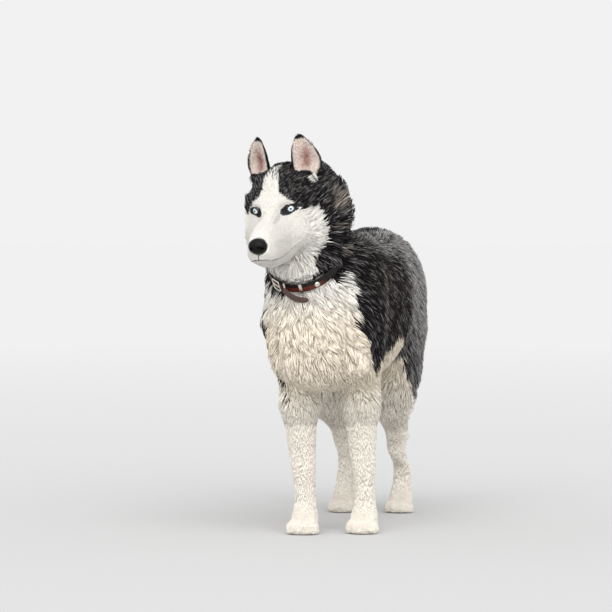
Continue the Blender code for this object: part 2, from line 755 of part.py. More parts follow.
# Nose and mouth

NOSE_CENTRE = (0.0, -0.1050, -0.0415)
NOSE_RADII = (0.0192, 0.0150, 0.0160)


def make_nose(head, dog, cutters):
    frame = head_matrix()
    grown = tuple(radius + GAP for radius in NOSE_RADII)
    seat = mark_cutter(make_ball("nose_seat", NOSE_CENTRE, grown, cutters, 15))
    combine(head, seat, "DIFFERENCE")
    nose = make_ball("nose", NOSE_CENTRE, NOSE_RADII, dog, 15)
    turn = frame.to_3x3().to_4x4()
    for sign, side in ((1, "left"), (-1, "right")):
        shape = bmesh.new()
        add_ellipsoid(shape, frame @ Vector((sign * 0.0083, -0.1185, -0.0420)), (0.0042, 0.0060, 0.0036), turn, 8)
        nostril = mark_cutter(object_from_bmesh("nostril_" + side, shape, cutters))
        combine(nose, nostril, "DIFFERENCE")
        slit_turn = turn @ Matrix.Rotation(sign * math.radians(18.0), 4, "Y")
        shape = bmesh.new()
        add_ellipsoid(shape, frame @ Vector((sign * 0.0135, -0.1140, -0.0440)), (0.0060, 0.0052, 0.0016), slit_turn, 8)
        slit = mark_cutter(object_from_bmesh("nostril_slit_" + side, shape, cutters))
        combine(nose, slit, "DIFFERENCE")
    keep_largest(nose)
    return nose


# y and z of the line of the mouth, from the corner to the front
MOUTH_LINE = (
    (-0.0140, -0.0660),
    (-0.0260, -0.0710),
    (-0.0400, -0.0750),
    (-0.0560, -0.0775),
    (-0.0720, -0.0765),
    (-0.0860, -0.0745),
    (-0.0960, -0.0725),
)
MOUTH_FRONT = (-0.1040, -0.0700)
LIP_RADIUS = 0.0026
MOUTH_SLIT = 0.0011


def mouth_path(head):
    """The line of the mouth on the skin, from the left corner round the front to the right one."""
    frame = head_matrix()
    inverse = frame.inverted()
    turn = frame.to_3x3()
    tree = BVHTree.FromObject(head, bpy.context.evaluated_depsgraph_get())

    def touch(start, way):
        hit = tree.ray_cast(frame @ Vector(start), (turn @ Vector(way)).normalized())[0]
        return inverse @ hit

    path = [touch((0.09, y, z), (-1, 0, 0)) for y, z in MOUTH_LINE]
    front = []
    for angle in (40, 0, -40):
        way = Vector((math.sin(math.radians(angle)), -math.cos(math.radians(angle)), 0))
        start = Vector((0, -0.085, MOUTH_FRONT[1] - abs(angle) * 0.00003))
        front.append(touch(start + way * 0.08, -way))
    other = [touch((-0.09, y, z), (1, 0, 0)) for y, z in reversed(MOUTH_LINE)]
    return [frame @ point for point in path + front + other]


def cut_mouth(head, cutters):
    path = mouth_path(head)
    lips = mark_cutter(make_tube("lips", path, LIP_RADIUS, cutters, closed=False))
    combine(head, lips, "UNION")
    frame = head_matrix()
    inside = frame @ Vector((0, -0.055, -0.074))
    up = frame.to_3x3() @ Vector((0, 0, 1))
    rings = []
    for point in path:
        outward = point - inside
        outward = (outward - up * outward.dot(up)).normalized()
        inner, outer = point - outward * 0.0022, point + outward * 0.006
        lift = up * MOUTH_SLIT
        rings.append([inner - lift, outer - lift, outer + lift, inner + lift])
    shape = bmesh.new()
    add_loft(shape, rings)
    bmesh.ops.recalc_face_normals(shape, faces=shape.faces)
    slit = mark_cutter(object_from_bmesh("mouth_slit", shape, cutters))
    combine(head, slit, "DIFFERENCE")
    middle = path[len(path) // 2]
    shape = bmesh.new()
    top = frame @ Vector((0, -0.112, -0.052))
    bmesh.ops.create_cube(shape, size=1.0)
    groove = Matrix.Translation((middle + top) / 2) @ frame.to_3x3().to_4x4()
    bmesh.ops.transform(shape, matrix=groove @ Matrix.Diagonal((0.0014, 0.0120, 0.0200, 1.0)), verts=shape.verts)
    philtrum = mark_cutter(object_from_bmesh("philtrum", shape, cutters))
    combine(head, philtrum, "DIFFERENCE")


# Claws


def add_claws(leg, foot_x, foot_y, size, cutters):
    """A short claw out of the front of each toe."""
    shape = bmesh.new()
    for across, ahead, high in TOES:
        base = Vector((foot_x + across * size, foot_y - ahead * size - 0.0145 * size, 0.0125))
        tip = base + Vector((0, -0.0135, -0.0085))
        way = (tip - base).normalized()
        turn = way.to_track_quat("Z", "Y").to_matrix().to_4x4()
        bmesh.ops.create_cone(
            shape, cap_ends=True, segments=6, radius1=0.0030, radius2=0.0009,
            depth=(tip - base).length, matrix=Matrix.Translation((base + tip) / 2) @ turn)
    claws = mark_cutter(object_from_bmesh(leg.name + "_claws", shape, cutters))
    combine(leg, claws, "UNION")
    keep_largest(leg)


# Collar


def strap_place(angle, outward, height):
    """A point on the collar. The angle is from the throat, in degrees, to the dog's left."""
    turn = math.radians(angle)
    across, ahead = math.sin(turn), -math.cos(turn)
    point = Vector((COLLAR_HALF_WIDTH * across, COLLAR_HALF_DEPTH * ahead, height))
    normal = Vector((across / COLLAR_HALF_WIDTH, ahead / COLLAR_HALF_DEPTH, 0)).normalized()
    return collar_matrix() @ (point + normal * outward)


def strap_frame(angle, outward=0.0):
    """A frame on the strap: x along it to the left, y across it upwards, z outward."""
    centre = strap_place(angle, outward, 0)
    out = (strap_place(angle, outward + 0.01, 0) - centre).normalized()
    up = (strap_place(angle, outward, 0.01) - centre).normalized()
    along = up.cross(out)
    return Matrix.Translation(centre) @ Matrix((along, up, out)).transposed().to_4x4()


STRAP_STEPS = 30


def make_strap(name, grow, collection):
    """The band of the collar as a ring with a slightly rounded section."""
    half = COLLAR_WIDTH / 2 + grow
    thick = COLLAR_THICKNESS / 2 + grow
    edge = 0.0009
    profile = (
        (thick, -half + edge), (thick, half - edge), (thick - edge, half),
        (-thick, half), (-thick, -half), (thick - edge, -half),
    )
    shape = bmesh.new()
    rows = []
    for step in range(STRAP_STEPS):
        angle = 360.0 * step / STRAP_STEPS
        rows.append([shape.verts.new(strap_place(angle, outward, height)) for outward, height in profile])
    for index, row in enumerate(rows):
        following = rows[(index + 1) % STRAP_STEPS]
        for corner in range(len(profile)):
            after = (corner + 1) % len(profile)
            shape.faces.new((row[corner], row[after], following[after], following[corner]))
    bmesh.ops.recalc_face_normals(shape, faces=shape.faces)
    return object_from_bmesh(name, shape, collection)


def make_buckle(collection):
    """A rounded frame across the strap with its pin."""
    frame = strap_frame(-38.0, COLLAR_THICKNESS / 2 + 0.0024)
    corners = []
    half_along, half_across, bend = 0.0095, 0.0130, 0.0040
    for centre_x, centre_y, start in ((1, 1, 0), (-1, 1, 90), (-1, -1, 180), (1, -1, 270)):
        for step in range(4):
            angle = math.radians(start + step * 30)
            corners.append(frame @ Vector((
                centre_x * (half_along - bend) + bend * math.cos(angle),
                centre_y * (half_across - bend) + bend * math.sin(angle), 0)))
    buckle = make_tube("collar_buckle", corners, 0.0016, collection, closed=True, sides=1)
    pin_ends = [frame @ Vector((-half_along, 0, 0)), frame @ Vector((half_along + 0.0016, 0, 0.0012))]
    pin = make_tube("buckle_pin", pin_ends, 0.0012, collection, closed=False)
    combine(buckle, pin, "UNION")
    bpy.data.objects.remove(pin, do_unlink=True)
    keep_largest(buckle)
    return buckle


def make_keeper(name, angle, width, collection):
    """A flat metal loop lying over the strap, its ends turned in at both edges."""
    frame = strap_frame(angle, COLLAR_THICKNESS / 2 + 0.0004)
    metal = 0.0014
    reach = COLLAR_WIDTH / 2 + 0.0006
    outline = (
        (reach, -0.0008), (reach + metal, -0.0008), (reach + metal, metal * 0.6), (reach + metal * 0.3, metal),
        (-reach - metal * 0.3, metal), (-reach - metal, metal * 0.6), (-reach - metal, -0.0008), (-reach, -0.0008),
        (-reach, 0.0), (reach, 0.0),
    )
    shape = bmesh.new()
    ends = []
    for x in (-width / 2, width / 2):
        ends.append([shape.verts.new(frame @ Vector((x, y, z))) for y, z in outline])
    count = len(outline)
    for corner in range(count):
        after = (corner + 1) % count
        shape.faces.new((ends[0][corner], ends[0][after], ends[1][after], ends[1][corner]))
    shape.faces.new(ends[0])
    shape.faces.new(ends[1])
    bmesh.ops.recalc_face_normals(shape, faces=shape.faces)
    return object_from_bmesh(name, shape, collection)


def make_stud(collection):
    frame = strap_frame(27.0, COLLAR_THICKNESS / 2 + 0.0004)
    shape = bmesh.new()
    bmesh.ops.create_uvsphere(shape, u_segments=14, v_segments=6, radius=1.0, matrix=Matrix.Diagonal((0.0058, 0.0058, 0.0034, 1)))
    bmesh.ops.bisect_plane(shape, geom=shape.verts[:] + shape.edges[:] + shape.faces[:], plane_co=(0, 0, 0.0), plane_no=(0, 0, 1), clear_inner=True)
    bmesh.ops.holes_fill(shape, edges=[edge for edge in shape.edges if edge.is_boundary])
    bmesh.ops.transform(shape, matrix=frame, verts=shape.verts)
    bmesh.ops.recalc_face_normals(shape, faces=shape.faces)
    return object_from_bmesh("collar_stud", shape, collection)


# The loose end of the strap: place on the collar, distance out, height, and half width
STRAP_END = (
    (-24.0, 0.0062, -0.002, 0.0080),
    (-19.0, 0.0085, -0.006, 0.0080),
    (-13.0, 0.0110, -0.011, 0.0080),
    (-6.0, 0.0130, -0.0155, 0.0078),
    (1.0, 0.0140, -0.0185, 0.0072),
    (6.0, 0.0145, -0.0195, 0.0058),
    (9.0, 0.0146, -0.0198, 0.0030),
)


def make_strap_end(collection):
    """The tongue of the strap, past the buckle, sagging and cut round at its tip."""
    spots = [strap_place(angle, out, height) for angle, out, height, _ in STRAP_END]
    thick = COLLAR_THICKNESS / 2 * 0.85
    rings = []
    for index, (angle, _, _, half_width) in enumerate(STRAP_END):
        before, after = spots[max(index - 1, 0)], spots[min(index + 1, len(spots) - 1)]
        run = (after - before).normalized()
        out = strap_frame(angle).to_3x3() @ Vector((0, 0, 1))
        up = out.cross(run).normalized()
        out = run.cross(up).normalized()
        centre = spots[index]
        rings.append([
            centre + up * half_width * y + out * thick * z
            for y, z in ((-1, -0.7), (-0.9, -1), (0.9, -1), (1, -0.7), (1, 0.7), (0.9, 1), (-0.9, 1), (-1, 0.7))
        ])
    shape = bmesh.new()
    add_loft(shape, rings)
    bmesh.ops.recalc_face_normals(shape, faces=shape.faces)
    return object_from_bmesh("collar_strap_end", shape, collection)


def make_room(name, angles, outwards, heights, collection):
    """A stretch of space in front of the strap, between two distances out and two heights."""
    shape = bmesh.new()
    rings = []
    low, high = heights
    near, far = outwards
    for angle in range(*angles, 6):
        corners = ((near, low), (far, low), (far, high), (near, high))
        rings.append([strap_place(angle, outward, height) for outward, height in corners])
    add_loft(shape, rings)
    bmesh.ops.recalc_face_normals(shape, faces=shape.faces)
    return mark_cutter(object_from_bmesh(name, shape, collection))


def make_collar(nodes, dog, cutters):
    slot = mark_cutter(make_strap("strap_slot", GAP, cutters))
    metal_room = make_room("metal_room", (-62, 45), (0.0008, 0.020), (-0.0155, 0.0155), cutters)
    tongue_room = make_room("tongue_room", (-32, 20), (0.0035, 0.024), (-0.0320, 0.0), cutters)
    combine(nodes["neck"], slot, "DIFFERENCE", LOCK_SOLVER)
    for name in ("neck", "torso"):
        combine(nodes[name], metal_room, "DIFFERENCE", LOCK_SOLVER)
        combine(nodes[name], tongue_room, "DIFFERENCE", LOCK_SOLVER)
        keep_largest(nodes[name], 0)
        loosen(nodes[name])
    nodes["collar_strap"] = make_strap("collar_strap", 0.0, dog)
    nodes["collar_strap_end"] = make_strap_end(dog)
    nodes["collar_buckle"] = make_buckle(dog)
    nodes["collar_loop"] = make_keeper("collar_loop", -23.0, 0.0042, dog)
    nodes["collar_ring"] = make_keeper("collar_ring", 2.0, 0.0060, dog)
    nodes["collar_stud"] = make_stud(dog)


# Long coat

LOCK_SINK = 0.006
LOCK_SOLVER = "MANIFOLD"
TRIM_SHARE = 0.45
LOCK_UNDERSIDE = 0.35
# share of the length, of the width, of the thickness and of the height over the skin
LOCK_STEPS = (
    (0.00, 0.72, 0.90, -0.5),
    (0.38, 1.00, 1.00, 0.58),
    (0.74, 0.62, 0.75, 0.94),
)
# length, width, thickness and height of the tip over the skin
RUFF_LOCK = (0.060, 0.022, 0.0055, 0.0095)
MANE_LOCK = (0.064, 0.029, 0.0065, 0.0135)
BIB_LOCK = (0.082, 0.038, 0.0095, 0.0150)
SHOULDER_LOCK = (0.080, 0.046, 0.0090, 0.0110)
BREECHES_LOCK = (0.068, 0.034, 0.0085, 0.0130)
ELBOW_LOCK = (0.046, 0.018, 0.0060, 0.0080)
TAIL_LOCK = (0.090, 0.044, 0.0100, 0.0200)


TAIL_COUNT = 6
HEAD_END_RADIUS = 0.095


def add_lock(name, tree, start, lie, size, collection, chance):
    """A flat, tapered lock, rooted in the skin, that bends along it and rises to its tip."""
    length, width, thickness, lift = size
    length *= chance.uniform(0.86, 1.14)
    width *= chance.uniform(0.88, 1.12)
    curl = chance.uniform(-0.5, 0.5)
    centre, out, _, _ = tree.find_nearest(start)
    shape = bmesh.new()
    rings = []
    last = 0.0
    for share, wide, thick, height in LOCK_STEPS + ((1.0, 0.0, 0.0, 1.08),):
        along = (lie - out * lie.dot(out)).normalized()
        side = along.cross(out).normalized()
        way = along + side * curl * (share - 0.45)
        centre, out, _, _ = tree.find_nearest(centre + way * length * (share - last))
        last = share
        raised = centre + out * (lift * height if height > 0 else -LOCK_SINK)
        across = side * width * 0.5 * wide
        rise = out * thickness * thick
        rings.append([raised + across - rise * LOCK_UNDERSIDE, raised + rise, raised - across - rise * LOCK_UNDERSIDE])
    add_spike(shape, rings[:-1], rings[-1][1])
    bmesh.ops.recalc_face_normals(shape, faces=shape.faces)
    return object_from_bmesh(name, shape, collection)


def add_spike(shape, rings, tip):
    """A closed skin through the rings, flat at its root and pointed at its tip."""
    rows = [[shape.verts.new(point) for point in points] for points in rings]
    point = shape.verts.new(tip)
    count = len(rows[0])
    for index in range(count):
        following = (index + 1) % count
        for lower, upper in zip(rows, rows[1:]):
            shape.faces.new((lower[index], lower[following], upper[following], upper[index]))
        shape.faces.new((rows[-1][index], rows[-1][following], point))
    shape.faces.new(list(reversed(rows[0])))


def ruff_places():
    """Cheeks: two rows a side, from below the ear down to the throat."""
    frame = head_matrix()
    turn = frame.to_3x3()
    for sign in (-1, 1):
        for row, (back, count) in enumerate(((0.026, 4), (0.050, 4))):
            for step in range(count):
                share = (step + 0.5 * row) / (count - 0.5)
                spot = Vector((sign * 0.12, back - 0.026 * share, 0.020 - 0.098 * share))
                lie = Vector((sign * 0.25, 0.80 - 0.30 * share, -0.62))
                yield frame @ spot, turn @ lie, RUFF_LOCK


def mane_places():
    """Sides and back of the neck, in rows that lie down over one another."""
    frame = head_matrix()
    for row, share in enumerate((0.84, 0.60, 0.38)):
        start = 62 + 13 * (row % 2)
        for angle in range(start, 362 - start, 26):
            turn = math.radians(angle)
            up = Vector((0, 0.66, 0.75)) * -math.cos(turn)
            head_end = frame @ (Vector((0, 0.095, -0.030)) + (Vector((math.sin(turn), 0, 0)) + up) * HEAD_END_RADIUS)
            collar_end = strap_place(angle, 0.0, 0.0)
            middle = (frame @ Vector((0, 0.095, -0.030))).lerp(COLLAR_CENTRE, 1 - share)
            spot = collar_end.lerp(head_end, share)
            yield spot + (spot - middle) * 0.4, collar_end - head_end, MANE_LOCK


def bib_places():
    """The front of the chest."""
    for row, height in enumerate((0.462, 0.420, 0.378, 0.342)):
        start = -65 + 13 * (row % 2)
        for angle in range(start, 67, 26):
            turn = math.radians(angle)
            spot = Vector((-0.022 + 0.16 * math.sin(turn), -0.05 - 0.18 * math.cos(turn), height))
            yield spot, Vector((0.20 * math.sin(turn), 0.0, -1)), BIB_LOCK


def shoulder_places():
    """A row over the withers and the shoulders, just behind the neck."""
    for angle in range(64, 300, 33):
        turn = math.radians(angle)
        lie = Vector((0, 0.55 - 0.45 * math.cos(turn), -0.9 * abs(math.sin(turn)) - 0.05))
        yield strap_place(angle, 0.035, -0.064), lie, SHOULDER_LOCK


def rump_places():
    """The back of the thighs, beside the tail."""
    for height in (0.500, 0.445):
        for across in (-0.052, -0.082, 0.064, 0.094):
            yield Vector((across, 0.52, height)), Vector((0, 0.15, -1)), BREECHES_LOCK


def breeches_places(middle):
    """The back of one thigh down to the hock."""
    for step in range(5):
        height = 0.366 - 0.036 * step
        for across in ((0.002,) if step % 2 else (-0.019, 0.022)):
            yield Vector((middle + across, RUMP_Y + 0.13, height)), Vector((0, 0.1, -1)), BREECHES_LOCK


def elbow_places(name):
    foot_x, foot_y, _ = FEET[name]
    lean = 0.010 if foot_x < 0 else -0.008
    for step in range(3):
        spot = Vector((foot_x - lean + 0.006 * step, foot_y + 0.09, 0.266 - 0.022 * step))
        yield spot, Vector((0, 0.1, -1)), ELBOW_LOCK


def tail_places():
    """Rings of locks along the tail, out to its tip."""
    centres = [Vector(station[0]) for station in TAIL_STATIONS]
    for index in range(2, len(centres) - 1, 2):
        run = (centres[index + 1] - centres[index - 1]).normalized()
        side = Vector((1, 0, 0))
        back = side.cross(run).normalized()
        for step in range(TAIL_COUNT):
            turn = 2 * math.pi * (step + 0.25 * index) / TAIL_COUNT
            way = side * math.cos(turn) + back * math.sin(turn)
            yield centres[index] + way * 0.06, run, TAIL_LOCK


def grow_coat(node, places, cutters, region, seed):
    """Roots the locks in a node and joins them to it, then trims them at the node's own bounds."""
    chance = random.Random(seed)
    tree = BVHTree.FromObject(node, bpy.context.evaluated_depsgraph_get())
    locks = make_collection(node.name + "_locks")
    for index, (start, lie, size) in enumerate(places):
        add_lock(f"{node.name}_lock_{index}", tree, start, lie, size, locks, chance)
    join = node.modifiers.new("locks", "BOOLEAN")
    join.operation = "UNION"
    join.solver = LOCK_SOLVER
    join.operand_type = "COLLECTION"
    join.collection = locks
    apply_modifiers(node)
    for lock in list(locks.objects):
        bpy.data.objects.remove(lock, do_unlink=True)
    bpy.data.collections.remove(locks)
    for index, (frame, lower, upper) in enumerate(region):
        trim = cutting_box(f"{node.name}_trim_{index}", lower, upper, frame, cutters)
        combine(node, trim, "DIFFERENCE", LOCK_SOLVER)
    keep_largest(node, 0)
    loosen(node)


def far_side(frame):
    """The larger piece's side of a parting plane. The cut itself is left alone."""
    return frame @ Matrix.Rotation(math.pi, 4, "X") @ Matrix.Translation((0, 0, -GAP * TRIM_SHARE))


def near_side(frame):
    """The smaller piece's side of a parting plane."""
    return frame @ Matrix.Translation((0, 0, -GAP * TRIM_SHARE))


def add_coat(nodes, cutters):
    planes = parting_planes()
    wide, deep = (-0.5, -0.5, 0), (0.5, 0.5, 0.5)
    head, neck, tail, fore, hind = (planes[name] for name in ("head", "neck", "tail", "fore", "hind"))
    grow_coat(nodes["head"], ruff_places(), cutters, [(far_side(head), wide, deep)], 3)
    bounds = [(near_side(head), wide, deep), (far_side(neck), wide, deep)]
    grow_coat(nodes["neck"], mane_places(), cutters, bounds, 5)
    places = list(bib_places()) + list(shoulder_places()) + list(rump_places())
    bounds = [
        (near_side(neck), wide, deep),
        (near_side(tail), (-0.2, -0.2, 0), (0.2, 0.5, 0.3)),
        (near_side(fore), (-0.2, -0.3, 0), (0.2, 0.16, 0.4)),
        (near_side(hind), (-0.2, -0.3, 0), (0.2, 0.3, 0.5)),
    ]
    grow_coat(nodes["torso"], places, cutters, bounds, 7)
    grow_coat(nodes["tail"], tail_places(), cutters, [(far_side(tail), wide, deep)], 10)
    for seed, (name, middle) in enumerate((("hindleg_left", 0.060), ("hindleg_right", -0.070))):
        bounds = [(far_side(hind), (-0.3, -0.5, 0), (0.3, 0.5, 0.5))]
        grow_coat(nodes[name], breeches_places(middle), cutters, bounds, 11 + seed)
    for seed, name in enumerate(("foreleg_left", "foreleg_right")):
        bounds = [(far_side(fore), (-0.3, -0.5, 0), (0.3, 0.5, 0.5))]
        grow_coat(nodes[name], elbow_places(name), cutters, bounds, 18 + seed)


# Finish

FINISHES = {
    "head": (WHITE_COAT, 0.85, 0.0),
    "neck": (BLACK_COAT, 0.85, 0.0),
    "torso": (BLACK_COAT, 0.85, 0.0),
    "tail": (BLACK_COAT, 0.85, 0.0),
    "foreleg": (WHITE_COAT, 0.85, 0.0),
    "hindleg": (WHITE_COAT, 0.85, 0.0),
    "ear": (BLACK_COAT, 0.80, 0.0),
    "eye": (ICE_BLUE, 0.08, 0.0),
    "nose": (NOSE_BLACK, 0.35, 0.0),
    "collar_strap": (BROWN_LEATHER, 0.45, 0.0),
    "collar_strap_end": (BROWN_LEATHER, 0.45, 0.0),
    "collar_buckle": (NICKEL, 0.25, 1.0),
    "collar_loop": (NICKEL, 0.25, 1.0),
    "collar_ring": (NICKEL, 0.25, 1.0),
    "collar_stud": (NICKEL, 0.25, 1.0),
}


def finish(nodes):
    """Gives each node its material and smooth shading."""
    for name, item in nodes.items():
        kind = name if name in FINISHES else name.split("_")[0]
        colour, roughness, metallic = FINISHES[kind]
        item.data.materials.clear()
        item.data.materials.append(make_material(name, colour, roughness, metallic))
        item.data.shade_smooth()
        item.data.set_sharp_from_angle(angle=math.radians(50.0))


def extent(items):
    points = [item.matrix_world @ vertex.co for item in items for vertex in item.data.vertices]
    low = Vector(min(point[axis] for point in points) for axis in range(3))
    high = Vector(max(point[axis] for point in points) for axis in range(3))
    return low, high


def place(nodes):
    """Each node gets its origin at its own middle, and the dog its own at the middle of its base."""
    low, high = extent(nodes.values())
    base = Vector(((low.x + high.x) / 2, (low.y + high.y) / 2, low.z))
    for item in nodes.values():
        own_low, own_high = extent([item])
        middle = (own_low + own_high) / 2
        item.data.transform(Matrix.Translation(-middle))
        item.location = middle - base


def main():
    clear_scene()
    dog = make_collection("siberian_husky")
    cutters = make_collection("cutters")
    flesh = build_flesh(dog)
    nodes = part_dog(flesh, dog, cutters)
    head = nodes["head"]
    for sign, side in ((1, "left"), (-1, "right")):
        hull = mark_cutter(make_ear(sign, "ear_root_" + side, cutters, hull=True))
        combine(head, hull, "DIFFERENCE")
        nodes["ear_" + side] = make_ear(sign, "ear_" + side, dog)
        nodes["eye_" + side] = cut_eye(head, sign, "eye_" + side, dog, cutters)
    nodes["nose"] = make_nose(head, dog, cutters)
    cut_mouth(head, cutters)
    keep_largest(head)
    for name, (foot_x, foot_y, size) in FEET.items():
        add_claws(nodes[name], foot_x, foot_y - 0.016 * size, size, cutters)
    add_coat(nodes, cutters)
    make_collar(nodes, dog, cutters)
    finish(nodes)
    place(nodes)


main()
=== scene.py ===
import bpy
import bmesh
import math
import numpy as np
from mathutils import Matrix, Vector, noise
from mathutils.bvhtree import BVHTree
from mathutils.kdtree import KDTree


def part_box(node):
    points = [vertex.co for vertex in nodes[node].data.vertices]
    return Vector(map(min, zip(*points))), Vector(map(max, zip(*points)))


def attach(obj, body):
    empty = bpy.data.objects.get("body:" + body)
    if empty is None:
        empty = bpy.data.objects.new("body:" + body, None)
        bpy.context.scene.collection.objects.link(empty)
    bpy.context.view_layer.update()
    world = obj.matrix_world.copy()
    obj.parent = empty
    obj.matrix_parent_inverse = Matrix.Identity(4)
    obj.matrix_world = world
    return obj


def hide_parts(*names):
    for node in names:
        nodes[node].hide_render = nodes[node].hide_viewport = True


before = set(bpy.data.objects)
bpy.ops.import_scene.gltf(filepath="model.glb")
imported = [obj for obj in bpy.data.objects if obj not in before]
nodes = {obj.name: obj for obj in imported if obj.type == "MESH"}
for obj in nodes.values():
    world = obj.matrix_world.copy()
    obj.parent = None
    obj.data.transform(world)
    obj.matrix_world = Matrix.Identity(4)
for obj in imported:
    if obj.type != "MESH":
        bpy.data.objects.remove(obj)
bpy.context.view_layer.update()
seed = np.random.default_rng(11)
noise.seed_set(11)  # left alone, Blender's noise is seeded by the clock

# The dog's own measures, in metres. Head places are x to its left, y back, z up, from between the eyes.
dog = dict(
    eyeMidpoint=(-0.079, -0.215, 0.651),
    headYaw=-8.0, headPitch=17.0, headRoll=-3.6,
    eyeSpacing=0.0335, eyeDepth=0.0075, eyeRadius=0.0115, eyeSplay=24.0,
    collarCentre=(-0.041, -0.112, 0.5565), collarNormal=(-0.06, -0.70, 0.71),
    collarHalfWidth=0.0745, collarHalfDepth=0.085,
    throat=(0.0, 0.035, -0.100), behindHead=(0.0, -0.75, 0.66),
)


def turned(yaw, pitch, roll):
    return (Matrix.Rotation(math.radians(yaw), 4, "Z") @ Matrix.Rotation(math.radians(pitch), 4, "X")
            @ Matrix.Rotation(math.radians(roll), 4, "Y"))


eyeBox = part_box("eye_left")
headTurn = turned(dog["headYaw"], dog["headPitch"], dog["headRoll"])
leftEye = headTurn @ Vector((dog["eyeSpacing"], dog["eyeDepth"], 0.0)) + Vector(dog["eyeMidpoint"])
shift = (eyeBox[0] + eyeBox[1]) / 2 - leftEye  # from the dog's own origin, between its fore feet, to the row's
headFrame = Matrix.Translation(Vector(dog["eyeMidpoint"]) + shift) @ headTurn
headInverse = headFrame.inverted()

collarUp = Vector(dog["collarNormal"]).normalized()
collarAcross = Vector((0, 1, 0)).cross(collarUp).normalized()
collarBack = collarUp.cross(collarAcross)
collarMid = Vector(dog["collarCentre"]) + shift


def asArray(points):
    return np.array([tuple(point) for point in points], float).reshape(-1, 3)


def toHead(points):
    inverse = np.array(headInverse)
    return points @ inverse[:3, :3].T + inverse[:3, 3]


def toOwn(points):
    return points - np.array(shift)


def toCollar(points):
    local = points - np.array(collarMid)
    return np.stack([local @ np.array(way) for way in (collarAcross, collarBack, collarUp)], 1)


def step(value):
    value = np.clip(value, 0.0, 1.0)
    return value * value * (3.0 - 2.0 * value)


def unit(vectors):
    return vectors / np.maximum(np.linalg.norm(vectors, axis=1, keepdims=True), 1e-9)


# Colours

def linear(hexValue):
    values = [int(hexValue[index:index + 2], 16) / 255 for index in (1, 3, 5)]
    return tuple(v / 12.92 if v <= 0.04045 else ((v + 0.055) / 1.055) ** 2.4 for v in values)


def addNode(tree, kind, settings=None, links=None):
    node = tree.nodes.new(kind)
    for key, value in (settings or {}).items():
        if isinstance(key, str) and hasattr(node, key):
            setattr(node, key, value)
        else:
            node.inputs[key].default_value = value
    for key, source in (links or {}).items():
        tree.links.new(source, node.inputs[key])
    return node


def newMaterial(name, **gloss):
    # gloss: Principled sockets, spelled with _ for each space
    material = bpy.data.materials.new(name)
    material.use_nodes = True
    shader = material.node_tree.nodes["Principled BSDF"]
    for socket, value in gloss.items():
        shader.inputs[socket.replace("_", " ")].default_value = value
    return material, material.node_tree, shader


def addGrain(tree, scale, detail):
    # noise fixed to the object, scale in grains per metre
    place = addNode(tree, "ShaderNodeTexCoord").outputs["Object"]
    return addNode(tree, "ShaderNodeTexNoise", {"Scale": scale, "Detail": detail}, {"Vector": place})


def addTint(tree, low, high, factor):
    # runs from the low colour to the high one; a colour is a hex value or another node's output
    colours = {6: low, 7: high}
    fixed = {key: (*linear(value), 1) for key, value in colours.items() if isinstance(value, str)}
    linked = {key: value for key, value in colours.items() if not isinstance(value, str)}
    return addNode(tree, "ShaderNodeMix", {"data_type": "RGBA", **fixed}, {0: factor, **linked}).outputs[2]


def addBump(tree, shader, height, strength, distance, invert=False):
    bump = addNode(tree, "ShaderNodeBump", {"Strength": strength, "Distance": distance, "invert": invert},
                   {"Height": height})
    tree.links.new(bump.outputs["Normal"], shader.inputs["Normal"])


def colourFrom(tree, shader, attribute):
    colour = addNode(tree, "ShaderNodeVertexColor", {"layer_name": attribute})
    tree.links.new(colour.outputs["Color"], shader.inputs["Base Color"])


def furMaterial():
    # dog hair, keratin: soft gloss along the hair, colour from the markings
    material, tree, shader = newMaterial("dog hair", Roughness=0.72, IOR=1.55, Specular_IOR_Level=0.06)
    colourFrom(tree, shader, "coat")
    return material


def skinMaterial():
    # skin with the roots of the coat on it, its short lying hair shown as fine bump about 1.5 mm apart
    material, tree, shader = newMaterial("short hair on skin", Roughness=0.8, Specular_IOR_Level=0.2)
    colourFrom(tree, shader, "coat")
    addBump(tree, shader, addGrain(tree, 650.0, 3.0).outputs["Fac"], 0.35, 0.0008)
    return material


# Markings, the same on skin and coat

coatColours = dict(
    white="#F4F1EB", cream="#F6ECDB", black="#0F0D0F", brownBlack="#211A19", grey="#77716F", tan="#A89D92",
    paleTip="#EFEDEB", earCream="#D9CCC3", earRed="#8A4A40",
)

# edge of the white face: angle round the head in degrees and height, from the blaze down to the throat
faceEdge = (
    (-4, 0.082), (1, 0.070), (8, 0.057), (8.5, 0.045), (11, 0.034), (21, 0.020), (33, -0.007), (55, -0.014),
    (63, -0.053), (71, -0.078), (51, -0.103), (37, -0.124), (28, -0.150), (26, -0.30),
    (-9, -0.30), (-8, -0.150), (-12, -0.135), (-37, -0.112), (-51, -0.103), (-71, -0.078), (-63, -0.053),
    (-55, -0.014), (-33, -0.007), (-21, 0.020), (-12, 0.032), (-10.5, 0.042), (-14, 0.056), (-15, 0.066),
    (-10, 0.079),
)

# side view, y back and z up from between the fore feet: shoulder, flank and thigh are dark inside these
sideEdge = (
    (-0.090, 0.640), (-0.096, 0.549), (-0.102, 0.529), (-0.107, 0.493), (-0.110, 0.450), (-0.121, 0.415),
    (-0.106, 0.385), (-0.056, 0.357), (-0.020, 0.322), (-0.004, 0.348), (0.040, 0.362), (0.076, 0.367),
    (0.113, 0.392), (0.190, 0.388), (0.250, 0.364), (0.286, 0.336), (0.310, 0.304), (0.338, 0.282),
    (0.364, 0.266), (0.400, 0.252), (0.430, 0.250), (0.452, 0.300), (0.500, 0.420), (0.560, 0.800),
    (-0.060, 0.800),
)

sideEdgeRight = (
    (-0.075, 0.640), (-0.078, 0.549), (-0.080, 0.500), (-0.088, 0.450), (-0.098, 0.415), (-0.102, 0.384),
    (-0.092, 0.334), (-0.075, 0.300), (-0.056, 0.245), (-0.040, 0.300), (-0.020, 0.345),
) + sideEdge[10:]


